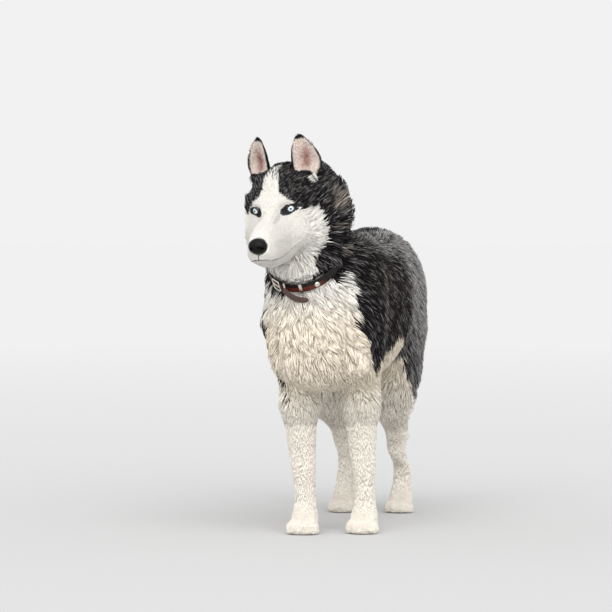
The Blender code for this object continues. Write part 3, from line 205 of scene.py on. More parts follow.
def insideShape(points, corners):
    # signed distance to a closed outline, positive inside
    corners = np.array(corners, float)
    following = np.roll(corners, -1, axis=0)
    nearest = np.full(len(points), 1e9)
    inside = np.zeros(len(points), bool)
    for (ax, ay), (bx, by) in zip(corners, following):
        edge = np.array((bx - ax, by - ay))
        local = points - np.array((ax, ay))
        share = np.clip(local @ edge / (edge @ edge), 0, 1)
        nearest = np.minimum(nearest, np.linalg.norm(local - share[:, None] * edge, axis=1))
        crosses = (ay > points[:, 1]) != (by > points[:, 1])
        slope = (bx - ax) * (points[:, 1] - ay) / ((by - ay) if by != ay else 1e-9) + ax
        inside ^= crosses & (points[:, 0] < slope)
    return np.where(inside, nearest, -nearest)


def blob(points, centre, reach):
    # 1 in the middle of an egg-shaped region, 0 outside it
    away = np.linalg.norm((points - np.array(centre)) / np.array(reach), axis=1)
    return step((1.2 - away) / 0.5)


def wobble(points, size, amount, offset=0.0):
    shiftBy = Vector((offset, offset * 0.7, -offset))
    moved = [noise.noise_vector(Vector(point) / size + shiftBy) for point in points]
    return asArray(moved) * amount


def headness(points):
    # above 0 on the head's side of the throat
    way = np.array(dog["behindHead"]) / np.linalg.norm(dog["behindHead"])
    return (toHead(points) - np.array(dog["throat"])) @ way


def strapTurn(collar):
    # degrees round the strap, 0 in front, more to the dog's left
    return np.degrees(np.arctan2(collar[:, 0], -collar[:, 1]))


def markings(points, normals):
    # how dark the coat is, 0..1, before its edge is broken up
    own = toOwn(points)
    x, y, z = own.T
    head = toHead(points)
    collar = toCollar(points)
    angle = np.degrees(np.arctan2(head[:, 0], 0.10 - head[:, 1]))
    perDegree = 0.0014  # metres along the face for a degree round the head
    outline = [(degrees * perDegree, height) for degrees, height in faceEdge]
    white = insideShape(np.stack([angle * perDegree, head[:, 2]], 1), outline)
    faceDark = step(0.5 - white / 0.006)
    faceDark = np.maximum(faceDark, 0.45 * step((head[:, 2] - 0.045) / 0.02))  # the top of the blaze is flecked
    faceDark *= 1 - blob(head, (0, -0.06, -0.065), (0.052, 0.085, 0.062))  # the muzzle is always white
    # below the collar
    side = np.sign(x + 0.02 * step((0.1 - y) / 0.2))
    flat = own[:, 1:3]
    bodyWhite = np.where(side > 0, insideShape(flat, sideEdge), insideShape(flat, sideEdgeRight))
    bodyDark = step(0.5 + bodyWhite / 0.009)
    # on the right only the outer edge is dark low down
    edge = (side < 0) & (z < 0.345) & (y < 0.10)
    bodyDark *= np.where(edge, step((-0.086 - x) / 0.010 + 0.5), 1.0)
    bodyDark *= np.where(z < 0.37, step((normals[:, 0] * side + 0.35) / 0.35), 1.0)
    bodyDark *= np.where(z < 0.40, step((0.75 + normals[:, 2]) / 0.3), 1.0)
    # strip of dark coat under the collar on its right, and a tuft of it on its left
    turn = strapTurn(collar)
    strip = step((throatBand(own) + 0.004) / 0.006)
    tuft = step((0.040 + collar[:, 2]) / 0.012) * step((turn - 42) / 8) * step((110 - turn) / 10)
    low = np.maximum.reduce([strip, tuft, bodyDark])
    # the face's own markings hold above the collar and before the withers
    above = step(0.5 + collar[:, 2] / 0.010) * (1 - step((y + 0.03) / 0.03))
    dark = faceDark * above + low * (1 - above)
    # the tail is dark above and pale below, with a pale tip
    tail = step((y - 0.484) / 0.008) * (z > 0.17)
    heights, backs = np.array(tailLine)[::-1].T
    behind = y - np.interp(z, heights, backs)
    tailDark = step((behind + 0.020) / 0.020) * step((z - 0.250) / 0.04)
    return dark * (1 - tail) + tailDark * tail, own, head


# dark band under the strap on the dog's right, from beside the neck to the chest, with its half width
throatLine = ((-0.122, -0.092, 0.534, 0.020), (-0.103, -0.129, 0.503, 0.015), (-0.081, -0.150, 0.482, 0.010),
              (-0.062, -0.176, 0.453, 0.005))


def throatBand(own):
    best = np.full(len(own), -1.0)
    for one, two in zip(throatLine, throatLine[1:]):
        start, edge = np.array(one[:3]), np.array(two[:3]) - np.array(one[:3])
        share = np.clip((own - start) @ edge / (edge @ edge), 0, 1)
        reach = one[3] + (two[3] - one[3]) * share
        best = np.maximum(best, reach - np.linalg.norm(own - start - share[:, None] * edge, axis=1))
    return best


def coatColour(points, normals, chance):
    warp = wobble(points, 0.020, 0.007) + wobble(points, 0.006, 0.0022, 5.0)
    face = blob(toHead(points), (0, -0.02, 0.0), (0.085, 0.09, 0.09))
    dark, own, head = markings(points + warp * (1 - 0.6 * face[:, None]), normals)
    _, y, z = own.T
    count = len(points)
    names = ("white", "cream", "black", "brownBlack", "grey", "tan", "paleTip")
    white, cream, black, brown, grey, tan, pale = (np.array(linear(coatColours[name])) for name in names)
    chest = step((0.50 - z) / 0.1) * (1 - face)
    chest *= 0.45 + 0.55 * step((z - 0.24) / 0.08)
    light = white + (cream - white) * chest[:, None]
    light = light * (1 - 0.10 * chance.random((count, 1)) ** 2)
    # painted shade: the white coat is greyed at random in the crease below the inner corner of each eye
    for sign in (-1, 1):
        innerCornerShade = blob(head, (sign * 0.0165, -0.020, -0.013), (0.0040, 0.030, 0.011))
        light = light * (1 - 0.35 * innerCornerShade * chance.random(count))[:, None]
    # the dark coat: deep black on the head and shoulder, browner on the flank, grizzled on back and rump
    flank = sum(blob(own, (side, 0.12, 0.46), (0.10, 0.16, 0.12)) * 0.8 for side in (0.10, -0.11))
    deep = black + (brown - black) * np.clip(flank, 0, 1)[:, None]
    grizzle = 0.16 + 0.84 * step((y - 0.19) / 0.11) * step((z - 0.30) / 0.10)
    top = 0.80 * step((y - 0.02) / 0.12) * step((z - 0.540) / 0.03)
    thigh = 0.75 * step((y - 0.25) / 0.08) * step((z - 0.18) / 0.05)
    grizzle = np.maximum.reduce([grizzle, top, thigh])
    grizzle *= 1 - 0.75 * step((normals[:, 2] - 0.90) / 0.07)
    nape = np.maximum.reduce([
        blob(head, (0.108, 0.114, -0.01), (0.03, 0.03, 0.035)),
        blob(head, (0.107, 0.088, -0.058), (0.02, 0.02, 0.02)),
        blob(head, (-0.108, 0.114, -0.01), (0.03, 0.03, 0.035)),
        blob(own, (0.046, -0.080, 0.577), (0.024, 0.030, 0.020)),
        blob(own, (-0.135, -0.05, 0.577), (0.024, 0.030, 0.020)),
    ])
    strip = np.exp(-((y - 0.035 - (z - 0.47) * 0.30) / 0.009) ** 2)
    strip *= step((z - 0.38) / 0.03) * step((0.58 - z) / 0.03) * 0.6
    tanShare = np.maximum(nape, strip) * chance.uniform(0.0, 1.0, count) ** 0.7 * 0.85
    deep = deep + (tan - deep) * tanShare[:, None]
    greyPart = np.clip(grizzle, 0, 1) * chance.random(count)
    rootDark = deep + (grey - deep) * (0.75 * greyPart)[:, None]
    hasPale = chance.random(count) < 0.14 + 0.78 * grizzle
    paleShare = chance.uniform(0.10, 0.75, count) ** 1.3 * (1 - grizzle)
    paleShare += chance.uniform(0.5, 1.1, count) * grizzle
    tipDark = np.where(hasPale[:, None], rootDark + (pale - rootDark) * paleShare[:, None], rootDark)
    # soot round the eyes, and a pale patch under the cup of each ear
    for sign in (-1, 1):
        dark = np.maximum(dark, step((1.08 - eyeDistance(head, sign, 0.0165, 0.0095)) / 0.16))
        dark = dark * (1 - 0.95 * blob(head, (sign * 0.072, 0.068, 0.036), (0.014, 0.024, 0.013)))
    pick = (np.clip(dark, 0, 1) > chance.uniform(0.25, 0.75, count)).astype(float)[:, None]
    root = light * (1 - pick) + rootDark * pick
    # painted shade: white tufts are coloured 2 % darker at the root than at the tip; the pale tips of dark tufts
    # are their own grizzle
    tip = light * 1.02 * (1 - pick) + tipDark * pick
    return np.clip(root, 0, 1), np.clip(tip, 0, 1)


# Skin

# swell closes the gaps between the nodes and closing the ones between their locks; rounds smooth the locks away
skinSettings = dict(voxel=0.0050, swell=0.0007, closing=0.012, rounds=44, sparedRounds=4,
                    # how deep the skin lies under the solids
                    body=0.010, legs=0.0035, feet=0.0012, face=0.0028, muzzle=0.0012, locks=0.003)

fleshNodes = ("head", "neck", "torso", "tail", "foreleg_left", "foreleg_right", "hindleg_left", "hindleg_right")


def mergedCopy(name):
    mesh = nodes[name].data.copy()
    shape = bmesh.new()
    shape.from_mesh(mesh)
    bmesh.ops.remove_doubles(shape, verts=shape.verts, dist=0.00001)
    shape.to_mesh(mesh)
    shape.free()
    mesh.materials.clear()
    return mesh


def newObject(name, mesh):
    item = bpy.data.objects.new(name, mesh)
    bpy.context.scene.collection.objects.link(item)
    return item


def selectOnly(*items):
    bpy.ops.object.select_all(action="DESELECT")
    for item in items:
        item.select_set(True)
    bpy.context.view_layer.objects.active = items[0]


def remeshed(item, voxel):
    selectOnly(item)
    remesh = item.modifiers.new("one surface", "REMESH")
    remesh.mode = "VOXEL"
    remesh.voxel_size = voxel
    bpy.ops.object.modifier_apply(modifier=remesh.name)
    return item.data


def readPoints(mesh):
    points = np.empty(len(mesh.vertices) * 3)
    mesh.vertices.foreach_get("co", points)
    return points.reshape(-1, 3)


def writePoints(mesh, points):
    mesh.vertices.foreach_set("co", points.ravel())
    mesh.update()


def readNormals(mesh):
    normals = np.empty(len(mesh.vertices) * 3)
    mesh.vertices.foreach_get("normal", normals)
    return normals.reshape(-1, 3)


def readEdges(mesh):
    edges = np.empty(len(mesh.edges) * 2, int)
    mesh.edges.foreach_get("vertices", edges)
    return edges.reshape(-1, 2)


def paint(mesh, name, colours):
    layer = mesh.color_attributes.new(name, "FLOAT_COLOR", "POINT")
    values = np.ones((len(mesh.vertices), 4), np.float32)
    values[:, :3] = colours
    layer.data.foreach_set("color", values.ravel())


def smoothed(points, edges, weight, rounds):
    count = len(points)
    degree = np.bincount(edges.ravel(), minlength=count)[:, None]
    for _ in range(rounds):
        total = np.zeros_like(points)
        for axis in range(3):
            total[:, axis] = np.bincount(edges[:, 0], points[edges[:, 1], axis], count)
            total[:, axis] += np.bincount(edges[:, 1], points[edges[:, 0], axis], count)
        points = points + weight[:, None] * (total / np.maximum(degree, 1) - points)
    return points


def shagginess(points):
    # 1 where the solids carry locks, 0 on short coat
    own = toOwn(points)
    head = toHead(points)
    return np.maximum.reduce([
        blob(own, (-0.045, -0.085, 0.620), (0.125, 0.110, 0.120)) * step((head[:, 1] - 0.035) / 0.03),
        blob(own, (-0.022, -0.150, 0.400), (0.140, 0.110, 0.120)),
        blob(own, (-0.020, 0.010, 0.590), (0.120, 0.100, 0.070)),
        blob(own, (0.013, 0.580, 0.370), (0.110, 0.100, 0.220)),
        blob(own, (0.060, 0.470, 0.320), (0.070, 0.075, 0.170)),
        blob(own, (-0.070, 0.470, 0.320), (0.070, 0.075, 0.170)),
        blob(own, (0.060, 0.090, 0.230), (0.045, 0.045, 0.050)) * 0.7,
        blob(own, (-0.060, 0.050, 0.230), (0.045, 0.045, 0.050)) * 0.7,
        blob(own, (0.110, -0.060, 0.440), (0.060, 0.130, 0.120)),
        blob(own, (-0.120, -0.080, 0.420), (0.060, 0.120, 0.130)),
    ])


def skinDepth(points):
    # how deep the skin lies under the outline of the coat
    own = toOwn(points)
    head = toHead(points)
    depth = np.full(len(points), skinSettings["body"])
    for key, share in (
        ("legs", step((0.30 - own[:, 2]) / 0.06)),
        ("feet", step((0.06 - own[:, 2]) / 0.03)),
        ("face", step((0.075 - head[:, 1]) / 0.05) * step((head[:, 2] + 0.15) / 0.04) * (headness(points) > 0)),
        ("muzzle", blob(head, (0, -0.085, -0.055), (0.045, 0.055, 0.045))),
    ):
        depth = depth * (1 - share) + skinSettings[key] * share
    # deeper on the right elbow and over the hocks
    close = 0.012 * blob(own, (-0.118, -0.125, 0.355), (0.045, 0.085, 0.090))
    for side, back in ((1, 0.500), (-1, 0.490)):
        close = np.maximum(close, 0.010 * blob(own, (side * 0.075, back + 0.010, 0.215), (0.050, 0.055, 0.050)))
        close = np.maximum(close, 0.015 * blob(own, (side * 0.115, back, 0.205), (0.035, 0.080, 0.055)))
    return depth + skinSettings["locks"] * shagginess(points) + close


def fineShare(points):
    # the face and the feet, where the skin is finer
    own = toOwn(points)
    head = toHead(points)
    foot = step((0.066 - own[:, 2]) / 0.008)
    face = (headness(points) > 0) * step((0.026 - head[:, 1]) / 0.012)
    return np.maximum(foot, face)


def refine(item, share):
    shape = bmesh.new()
    shape.from_mesh(item.data)
    shape.verts.ensure_lookup_table()
    edges = [edge for edge in shape.edges if all(share[vertex.index] > 0.3 for vertex in edge.verts)]
    bmesh.ops.subdivide_edges(shape, edges=edges, cuts=1, use_grid_fill=True)
    shape.to_mesh(item.data)
    shape.free()


def makeSkin():
    print("skin")
    parts, corners, faces = [], [], []
    for name in fleshNodes:
        mesh = mergedCopy(name)
        points = readPoints(mesh)
        faces += [tuple(index + len(corners) for index in face.vertices) for face in mesh.polygons]
        corners += [tuple(point) for point in points]
        grow = skinSettings["swell"] + skinSettings["closing"] * shagginess(points)
        writePoints(mesh, points + readNormals(mesh) * grow[:, None])
        parts.append(newObject("skin_" + name, mesh))
    flesh = BVHTree.FromPolygons(corners, faces)
    selectOnly(*parts)
    bpy.ops.object.join()
    skin = parts[0]
    skin.name = "skin"
    mesh = remeshed(skin, skinSettings["voxel"])
    keepLargest(skin)
    points, edges = readPoints(mesh), readEdges(mesh)
    points = smoothed(points, edges, np.full(len(points), 0.5), skinSettings["sparedRounds"])
    shaggy = shagginess(points)
    points = smoothed(points, edges, 0.6 * shaggy, skinSettings["rounds"])
    writePoints(mesh, points)
    sunk = skinSettings["closing"] * 0.75 * shaggy
    writePoints(mesh, points - readNormals(mesh) * sunk[:, None])
    points = smoothed(readPoints(mesh), edges, 0.5 * shaggy, 10)
    writePoints(mesh, points)
    # the face and the feet get a finer mesh, drawn back onto the solids
    refine(skin, fineShare(points))
    points = readPoints(mesh)
    share = fineShare(points)
    for index in np.nonzero(share > 0.01)[0]:
        near = flesh.find_nearest(Vector(points[index]), 0.02)[0]
        if near is not None:
            points[index] += (np.array(near) - points[index]) * share[index]
    edges = readEdges(mesh)
    points = smoothed(points, edges, np.full(len(points), 0.35), 2)
    writePoints(mesh, points)
    writePoints(mesh, points - readNormals(mesh) * skinDepth(points)[:, None])
    tuckChin(skin)
    shapeHindquarters(skin)
    openEyes(skin)
    tuckUnderCollar(skin)
    mesh.shade_smooth()
    return skin


def shapeHindquarters(skin):
    mesh = skin.data
    points = readPoints(mesh)
    own = toOwn(points)
    _, y, z = own.T
    lump = blob(own, (0.053, -0.102, 0.298), (0.034, 0.040, 0.034))  # left by the locks under the chest
    points = smoothed(points, readEdges(mesh), lump, 90)
    # the left hind leg narrows between the thigh and the hock, the right one stands a little wider
    before = step((0.53 - y) / 0.02)
    points[:, 0] -= blob(own, (0.112, 0.400, 0.225), (0.060, 0.085, 0.065)) * 0.010
    share = blob(own, (0.072, 0.450, 0.178), (0.090, 0.140, 0.070)) * before
    points[:, 0] -= share * 0.010
    points[:, 1] -= share * 0.018
    points[:, 0] -= blob(own, (-0.075, 0.420, 0.210), (0.060, 0.140, 0.080)) * before * 0.009
    # the tip of the tail hangs behind the left leg
    tip = step((0.32 - z) / 0.10) * step((y - 0.50) / 0.03)
    points[:, 0] -= tip * 0.013
    writePoints(mesh, points)


def tuckChin(skin):
    # the lower jaw is a little shorter and shallower than the muzzle over it
    mesh = skin.data
    points = readPoints(mesh)
    share = blob(toHead(points), (0, -0.098, -0.092), (0.032, 0.030, 0.022))
    turn = np.array(headFrame.to_3x3())
    writePoints(mesh, points + share[:, None] * (turn @ np.array((0.0, 0.0050, 0.0065))))


def tuckUnderCollar(skin):
    # the skin stays inside the strap all the way round
    mesh = skin.data
    points = readPoints(mesh)
    collar = toCollar(points)
    radius = np.hypot(collar[:, 0] / dog["collarHalfWidth"], collar[:, 1] / dog["collarHalfDepth"])
    near = step((0.030 - np.abs(collar[:, 2])) / 0.014) * (radius < 1.5)
    inward = np.minimum(1.0, 0.955 / np.maximum(radius, 1e-6)) - 1.0
    flat = np.outer(collar[:, 0], np.array(collarAcross)) + np.outer(collar[:, 1], np.array(collarBack))
    writePoints(mesh, points + flat * (inward * near)[:, None])


def keepLargest(item):
    # only the outer skin is kept, without bubbles inside it
    shape = bmesh.new()
    shape.from_mesh(item.data)
    unseen = set(shape.verts)
    best = []
    while unseen:
        start = unseen.pop()
        group, front = [start], [start]
        while front:
            for edge in front.pop().link_edges:
                for vertex in edge.verts:
                    if vertex in unseen:
                        unseen.discard(vertex)
                        group.append(vertex)
                        front.append(vertex)
        if len(group) > len(best):
            best = group
    kept = set(best)
    bmesh.ops.delete(shape, geom=[vertex for vertex in shape.verts if vertex not in kept], context="VERTS")
    shape.to_mesh(item.data)
    shape.free()


def openEyes(skin):
    # the skin passes behind the front of each eyeball, inside the lids
    mesh = skin.data
    points = readPoints(mesh)
    for sign in (-1, 1):
        centre, axis = eyeCentre(sign), eyeAxis(sign)
        away = points - np.array(centre)
        distance = np.linalg.norm(away, axis=1)
        rim = math.cos(math.radians(50))
        facing = (away @ np.array(axis)) / np.maximum(distance, 1e-6)
        inside = (facing > rim) & (distance < 0.030)
        limit = dog["eyeRadius"] - 0.0022
        share = step((facing - rim) / 0.16)
        target = np.array(centre) + away / np.maximum(distance, 1e-6)[:, None] * limit
        move = inside & (distance > limit)
        points[move] += (target[move] - points[move]) * share[move][:, None]
    writePoints(mesh, points)


# Eyes

# slant, width and height of the opening between the lids in degrees
eyeSettings = dict(slant=13.0, wide=44.0, high=31.0, irisRadius=0.0068, pupilRadius=0.0019, cornea=0.0009,
                   white="#B9AEA8", iris="#DCE9EE", inner="#A9C8D6", ring="#23333F", pupil="#060607",
                   lidRadius=0.0013, lidProud=0.0007)


def gaze(sign):
    # where an eye looks, in the head's own directions
    splay = math.radians(dog["eyeSplay"])
    return Vector((sign * math.sin(splay), -math.cos(splay), 0.10)).normalized()


def eyeAxis(sign):
    return (headFrame.to_3x3() @ gaze(sign)).normalized()


def eyeCentre(sign):
    return headFrame @ Vector((sign * dog["eyeSpacing"], dog["eyeDepth"], 0.0))


def eyeMaterial():
    # wet eyeball: clear cornea over a pale ice-blue iris
    material, tree, shader = newMaterial("wet eye", Roughness=0.25, IOR=1.376, Coat_Weight=1.0,
                                         Coat_Roughness=0.02, Coat_IOR=1.376)
    colourFrom(tree, shader, "iris")
    return material


def makeEye(sign, side, material):
    centre, axis = eyeCentre(sign), eyeAxis(sign)
    bpy.ops.object.select_all(action="DESELECT")
    bpy.ops.mesh.primitive_uv_sphere_add(segments=96, ring_count=64, radius=dog["eyeRadius"] - 0.0002)
    eye = bpy.context.object
    eye.name = "eyeball_" + side
    mesh = eye.data
    points = readPoints(mesh)
    radius = np.hypot(points[:, 0], points[:, 1])
    points[:, 2] += step((0.0078 - radius) / 0.0036) * (points[:, 2] > 0) * eyeSettings["cornea"]
    turn = axis.to_track_quat("Z", "Y").to_matrix()
    ratio = radius / eyeSettings["irisRadius"]
    around = np.arctan2(points[:, 1], points[:, 0])
    front = points[:, 2] > 0
    white, iris, inner, ring, black = (
        np.array(linear(eyeSettings[key])) for key in ("white", "iris", "inner", "ring", "pupil"))
    fibres = 0.5 + 0.5 * np.sin(around * 23 + 3 * np.sin(around * 7))
    outer = step((ratio - 0.2) / 0.4)[:, None]
    mix = iris * (0.75 + 0.25 * fibres)[:, None] * outer + inner * (1 - outer)
    edge = step((ratio - 0.80) / 0.16)[:, None]
    mix = mix * (1 - edge) + ring * edge
    inIris = (step((1.04 - ratio) / 0.06) * front)[:, None]
    colour = np.tile(white, (len(points), 1)) * (1 - inIris) + mix * inIris
    pupil = eyeSettings["pupilRadius"] / eyeSettings["irisRadius"]
    inPupil = (step((pupil - ratio) / 0.06 + 0.5) * front)[:, None]
    colour = colour * (1 - inPupil) + black * inPupil
    paint(mesh, "iris", colour)
    writePoints(mesh, points @ np.array(turn).T + np.array(centre))
    mesh.shade_smooth()
    mesh.materials.append(material)
    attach(eye, "root")
    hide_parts("eye_" + side)


# Lie of the coat: away from the nose over the skin, then down

# height and place behind the fore feet of the tail's middle, from its root to its tip
tailLine = ((0.560, 0.440), (0.540, 0.490), (0.495, 0.532), (0.440, 0.556), (0.380, 0.568), (0.320, 0.578),
            (0.268, 0.594), (0.228, 0.616), (0.208, 0.632))


def lieOfCoat(skin):
    print("lie of the coat")
    mesh = skin.data
    points, edges = readPoints(mesh), readEdges(mesh)
    normals = readNormals(mesh)
    count = len(points)
    length = np.linalg.norm(points[edges[:, 0]] - points[edges[:, 1]], axis=1)
    nose = np.array(headFrame @ Vector((0, -0.105, -0.035)))
    far = np.full(count, 1e3)
    far[np.linalg.norm(points - nose, axis=1) < 0.022] = 0.0
    first, second = edges[:, 0], edges[:, 1]
    for _ in range(520):
        before = far.copy()
        np.minimum.at(far, second, before[first] + length)
        np.minimum.at(far, first, before[second] + length)
        if np.abs(before - far).max() < 1e-7:
            break
    far = smoothed(far[:, None].repeat(3, 1), edges, np.full(count, 0.5), 12)[:, 0]
    away = points[second] - points[first]
    slope = (far[second] - far[first])[:, None] * away / (length ** 2)[:, None]
    gradient = [np.bincount(first, part, count) + np.bincount(second, part, count) for part in slope.T]
    gradient = np.stack(gradient, 1)
    gradient = smoothed(unit(gradient), edges, np.full(count, 0.5), 14)
    own = toOwn(points)
    _, y, z = own.T
    body = step((y + 0.08) / 0.08) * step((z - 0.30) / 0.05)
    gradient[:, 2] -= 0.55 * body * np.abs(normals[:, 0])
    leg = step((0.315 - z) / 0.07)[:, None]
    foot = step((0.060 - z) / 0.02)[:, None]
    gradient = gradient * (1 - leg) + np.array((0.0, 0.10, -1.0)) * leg
    gradient = gradient * (1 - foot) + np.array((0.0, -0.75, -0.45)) * foot
    heights, backs = np.array(tailLine)[::-1].T
    slope = (np.interp(z - 0.01, heights, backs) - np.interp(z + 0.01, heights, backs)) / 0.02
    along = unit(np.stack([np.zeros(count), slope, -np.ones(count)], 1))
    tail = (step((y - 0.470) / 0.02) * (z > 0.17))[:, None]
    gradient = gradient * (1 - tail) + along * tail
    gradient -= normals * (gradient * normals).sum(1)[:, None]
    return unit(gradient)


# Coat

# length, width, stand of the tips over the skin and clump size in metres, curl 0..1, how many layers of cover
coatKinds = dict(
    body=(0.034, 0.0019, 0.0100, 0.013, 0.16, 3.4),
    chest=(0.034, 0.0022, 0.0085, 0.017, 0.50, 4.4),
    neck=(0.038, 0.0021, 0.0120, 0.013, 0.10, 3.8),
    cheek=(0.024, 0.0016, 0.0070, 0.011, 0.10, 4.0),
    face=(0.0085, 0.0011, 0.0022, 0.005, 0.12, 3.4),
    crown=(0.015, 0.0015, 0.0045, 0.007, 0.15, 3.4),
    leg=(0.018, 0.0014, 0.0007, 0.0055, 0.05, 3.9),
    foot=(0.0065, 0.0010, 0.0008, 0.006, 0.05, 3.0),
    thigh=(0.034, 0.0020, 0.0105, 0.013, 0.16, 3.2),
    tail=(0.055, 0.0028, 0.0170, 0.016, 0.16, 3.8),
    belly=(0.028, 0.0022, 0.0080, 0.013, 0.20, 2.6),
)


def coatKindShares(points, normals):
    own = toOwn(points)
    _, y, z = own.T
    head = toHead(points)
    collar = toCollar(points)
    isHead = headness(points) > 0
    shares = {name: np.zeros(len(points)) for name in coatKinds}
    shares["body"] += 1.0

    def over(name, share):
        share = np.clip(share, 0, 1)
        for other in shares:
            shares[other] *= 1 - share
        shares[name] += share

    over("belly", step((0.36 - z) / 0.05) * (normals[:, 2] < -0.3))
    over("chest", blob(own, (-0.022, -0.150, 0.420), (0.150, 0.120, 0.170)) * step((-0.02 - y) / 0.06))
    over("neck", step((collar[:, 2] + 0.05) / 0.05) * step((0.05 - y) / 0.08))
    over("thigh", step((y - 0.24) / 0.08) * step((0.46 - z) / 0.06))
    over("leg", step((0.285 - z) / 0.06) * (y < 0.20))
    tailFrom = 0.482 + 0.065 * step((0.36 - z) / 0.08)
    over("leg", step((0.245 - z) / 0.06) * (y > 0.20) * (y < tailFrom))
    over("foot", step((0.070 - z) / 0.03))
    over("tail", step((y - tailFrom) / 0.02) * (z > 0.16))
    over("cheek", isHead * step((head[:, 1] - 0.012) / 0.03))
    crown = step((0.085 - np.abs(head[:, 0])) / 0.02) * step((0.09 - head[:, 1]) / 0.03)
    over("crown", isHead * step((head[:, 2] - 0.010) / 0.02) * crown)
    over("face", isHead * step((0.022 - head[:, 1]) / 0.030))
    return shares


def coatMeasures(points, normals):
    shares = coatKindShares(points, normals)
    values = np.zeros((len(points), 6))
    for name, measures in coatKinds.items():
        values += shares[name][:, None] * np.array(measures)
    # short round the eyes, the nose and the mouth
    head = toHead(points)
    close = np.ones(len(points))
    for sign in (-1, 1):
        away = eyeDistance(head, sign)
        close = np.minimum(close, np.clip((away - 0.75) / 1.3, 0.30, 1.0))
    nose = np.linalg.norm(head - np.array((0, -0.105, -0.042)), axis=1)
    close = np.minimum(close, np.clip((nose - 0.006) / 0.040, 0.35, 1.0))
    values[:, 0] *= close
    values[:, 1] *= 0.6 + 0.4 * close
    values[:, 2] *= close
    # the coat above the strap ends on it in front
    collar = toCollar(points)
    front = step((88 - np.abs(strapTurn(collar) + 16)) / 16)
    room = np.clip((collar[:, 2] - 0.006) * 1.15, 0.007, 1.0)
    short = (collar[:, 2] > 0) & (collar[:, 2] < 0.06) & (np.linalg.norm(collar, axis=1) < 0.16)
    limited = np.minimum(values[:, 0], room)
    share = np.where(short, front, 0.0)
    ratio = 1 + (limited / values[:, 0] - 1) * share
    values[:, 0] *= ratio
    values[:, 2] *= 0.35 + 0.65 * ratio
    return values


def eyeDistance(head, sign, halfWidth=0.0118, halfHeight=0.0080):
    # 1 on the edge of the opening between the lids
    slant = math.radians(eyeSettings["slant"])
    outward = head[:, 0] * sign - dog["eyeSpacing"] - 0.001
    across = outward * math.cos(slant) + head[:, 2] * math.sin(slant)
    rise = head[:, 2] * math.cos(slant) - outward * math.sin(slant)
    behind = np.where(head[:, 1] > 0.03, 5.0, 0.0)
    return np.hypot(across / halfWidth, rise / halfHeight) + behind


def triangles(mesh):
    mesh.calc_loop_triangles()
    corners = np.empty(len(mesh.loop_triangles) * 3, int)
    mesh.loop_triangles.foreach_get("vertices", corners)
    loops = np.empty(len(mesh.loop_triangles) * 3, int)
    mesh.loop_triangles.foreach_get("loops", loops)
    return corners.reshape(-1, 3), loops.reshape(-1, 3)


def scatter(mesh, density, chance):
    # random places on the skin, more where the density is higher
    corners, loops = triangles(mesh)
    points = readPoints(mesh)
    a, b, c = (points[corners[:, index]] for index in range(3))
    area = np.linalg.norm(np.cross(b - a, c - a), axis=1) / 2
    share = area * density[corners].mean(1)
    whole = np.floor(share).astype(int)
    number = whole + (chance.random(len(share)) < share - whole)
    picked = np.repeat(np.arange(len(share)), number)
    u, v = chance.random(len(picked)), chance.random(len(picked))
    flip = u + v > 1
    u[flip], v[flip] = 1 - u[flip], 1 - v[flip]
    weights = np.stack([1 - u - v, u, v], 1)
    return weights, corners[picked], loops[picked]


def blend(values, corners, weights):
    return (values[corners] * weights[:, :, None]).sum(1)


def rootUvs(mesh, loops, weights):
    uv = np.empty(len(mesh.loops) * 2)
    mesh.uv_layers["OFBake"].data.foreach_get("uv", uv)
    return (uv.reshape(-1, 2)[loops] * weights[:, :, None]).sum(1)


steps = (0.0, 0.30, 0.66, 1.0)  # of a clump's length, where its path is kept


def clumpPaths(tree, roots, normals, lies, measures):
    # each clump's middle line follows the skin
    count = len(roots)
    paths = np.zeros((len(steps), count, 3))
    ups = np.zeros((len(steps), count, 3))
    swirl = wobble(roots, 0.028, 1.0, 2.0) + 0.6 * wobble(roots, 0.011, 1.0, 9.0)
    for index in range(count):
        place, up = Vector(roots[index]), Vector(normals[index])
        length, curl = measures[index, 0], measures[index, 4]
        way = Vector(lies[index]) + Vector(swirl[index]) * curl
        last = 0.0
        for number, share in enumerate(steps):
            if share > 0:
                along = way - up * way.dot(up)
                along.normalize()
                near, normal, _, _ = tree.find_nearest(place + along * length * (share - last))
                if near is not None:
                    place, up = near, normal
                last = share
            paths[number, index] = place
            ups[number, index] = up
    return paths, ups


def growCoat(skin, lie, lips):
    print("coat")
    mesh = skin.data
    points, normals = readPoints(mesh), readNormals(mesh)
    measures = coatMeasures(points, normals)
    bare = bareness(points, lips)
    # clumps
    clumpDensity = 1.0 / (measures[:, 3] ** 2) * 1.3
    weights, corners, _ = scatter(mesh, clumpDensity * (1 - bare), seed)
    tree = BVHTree.FromObject(skin, bpy.context.evaluated_depsgraph_get())
    clumpRoots = blend(points, corners, weights)
    clumpNormals = unit(blend(normals, corners, weights))
    clumpLies = unit(blend(lie, corners, weights))
    clumpMeasures = coatMeasures(clumpRoots, clumpNormals)
    paths, ups = clumpPaths(tree, clumpRoots, clumpNormals, clumpLies, clumpMeasures)
    find = KDTree(len(clumpRoots))
    for index, place in enumerate(clumpRoots):
        find.insert(place, index)
    find.balance()
    print("clumps", len(clumpRoots))
    # tufts
    tuftDensity = measures[:, 5] / (0.6 * measures[:, 0] * measures[:, 1]) * (1 - bare)
    weights, corners, loops = scatter(mesh, tuftDensity, seed)
    roots = blend(points, corners, weights)
    rootNormals = unit(blend(normals, corners, weights))
    clump = np.array([find.find(place)[1] for place in roots])
    measure = coatMeasures(roots, rootNormals)
    print("tufts", len(roots))
    return dict(root=roots, normal=rootNormals, own=toOwn(roots), uv=rootUvs(mesh, loops, weights),
                measure=measure, clump=clump, clumpLength=clumpMeasures[clump, 0], paths=paths, ups=ups, tree=tree)


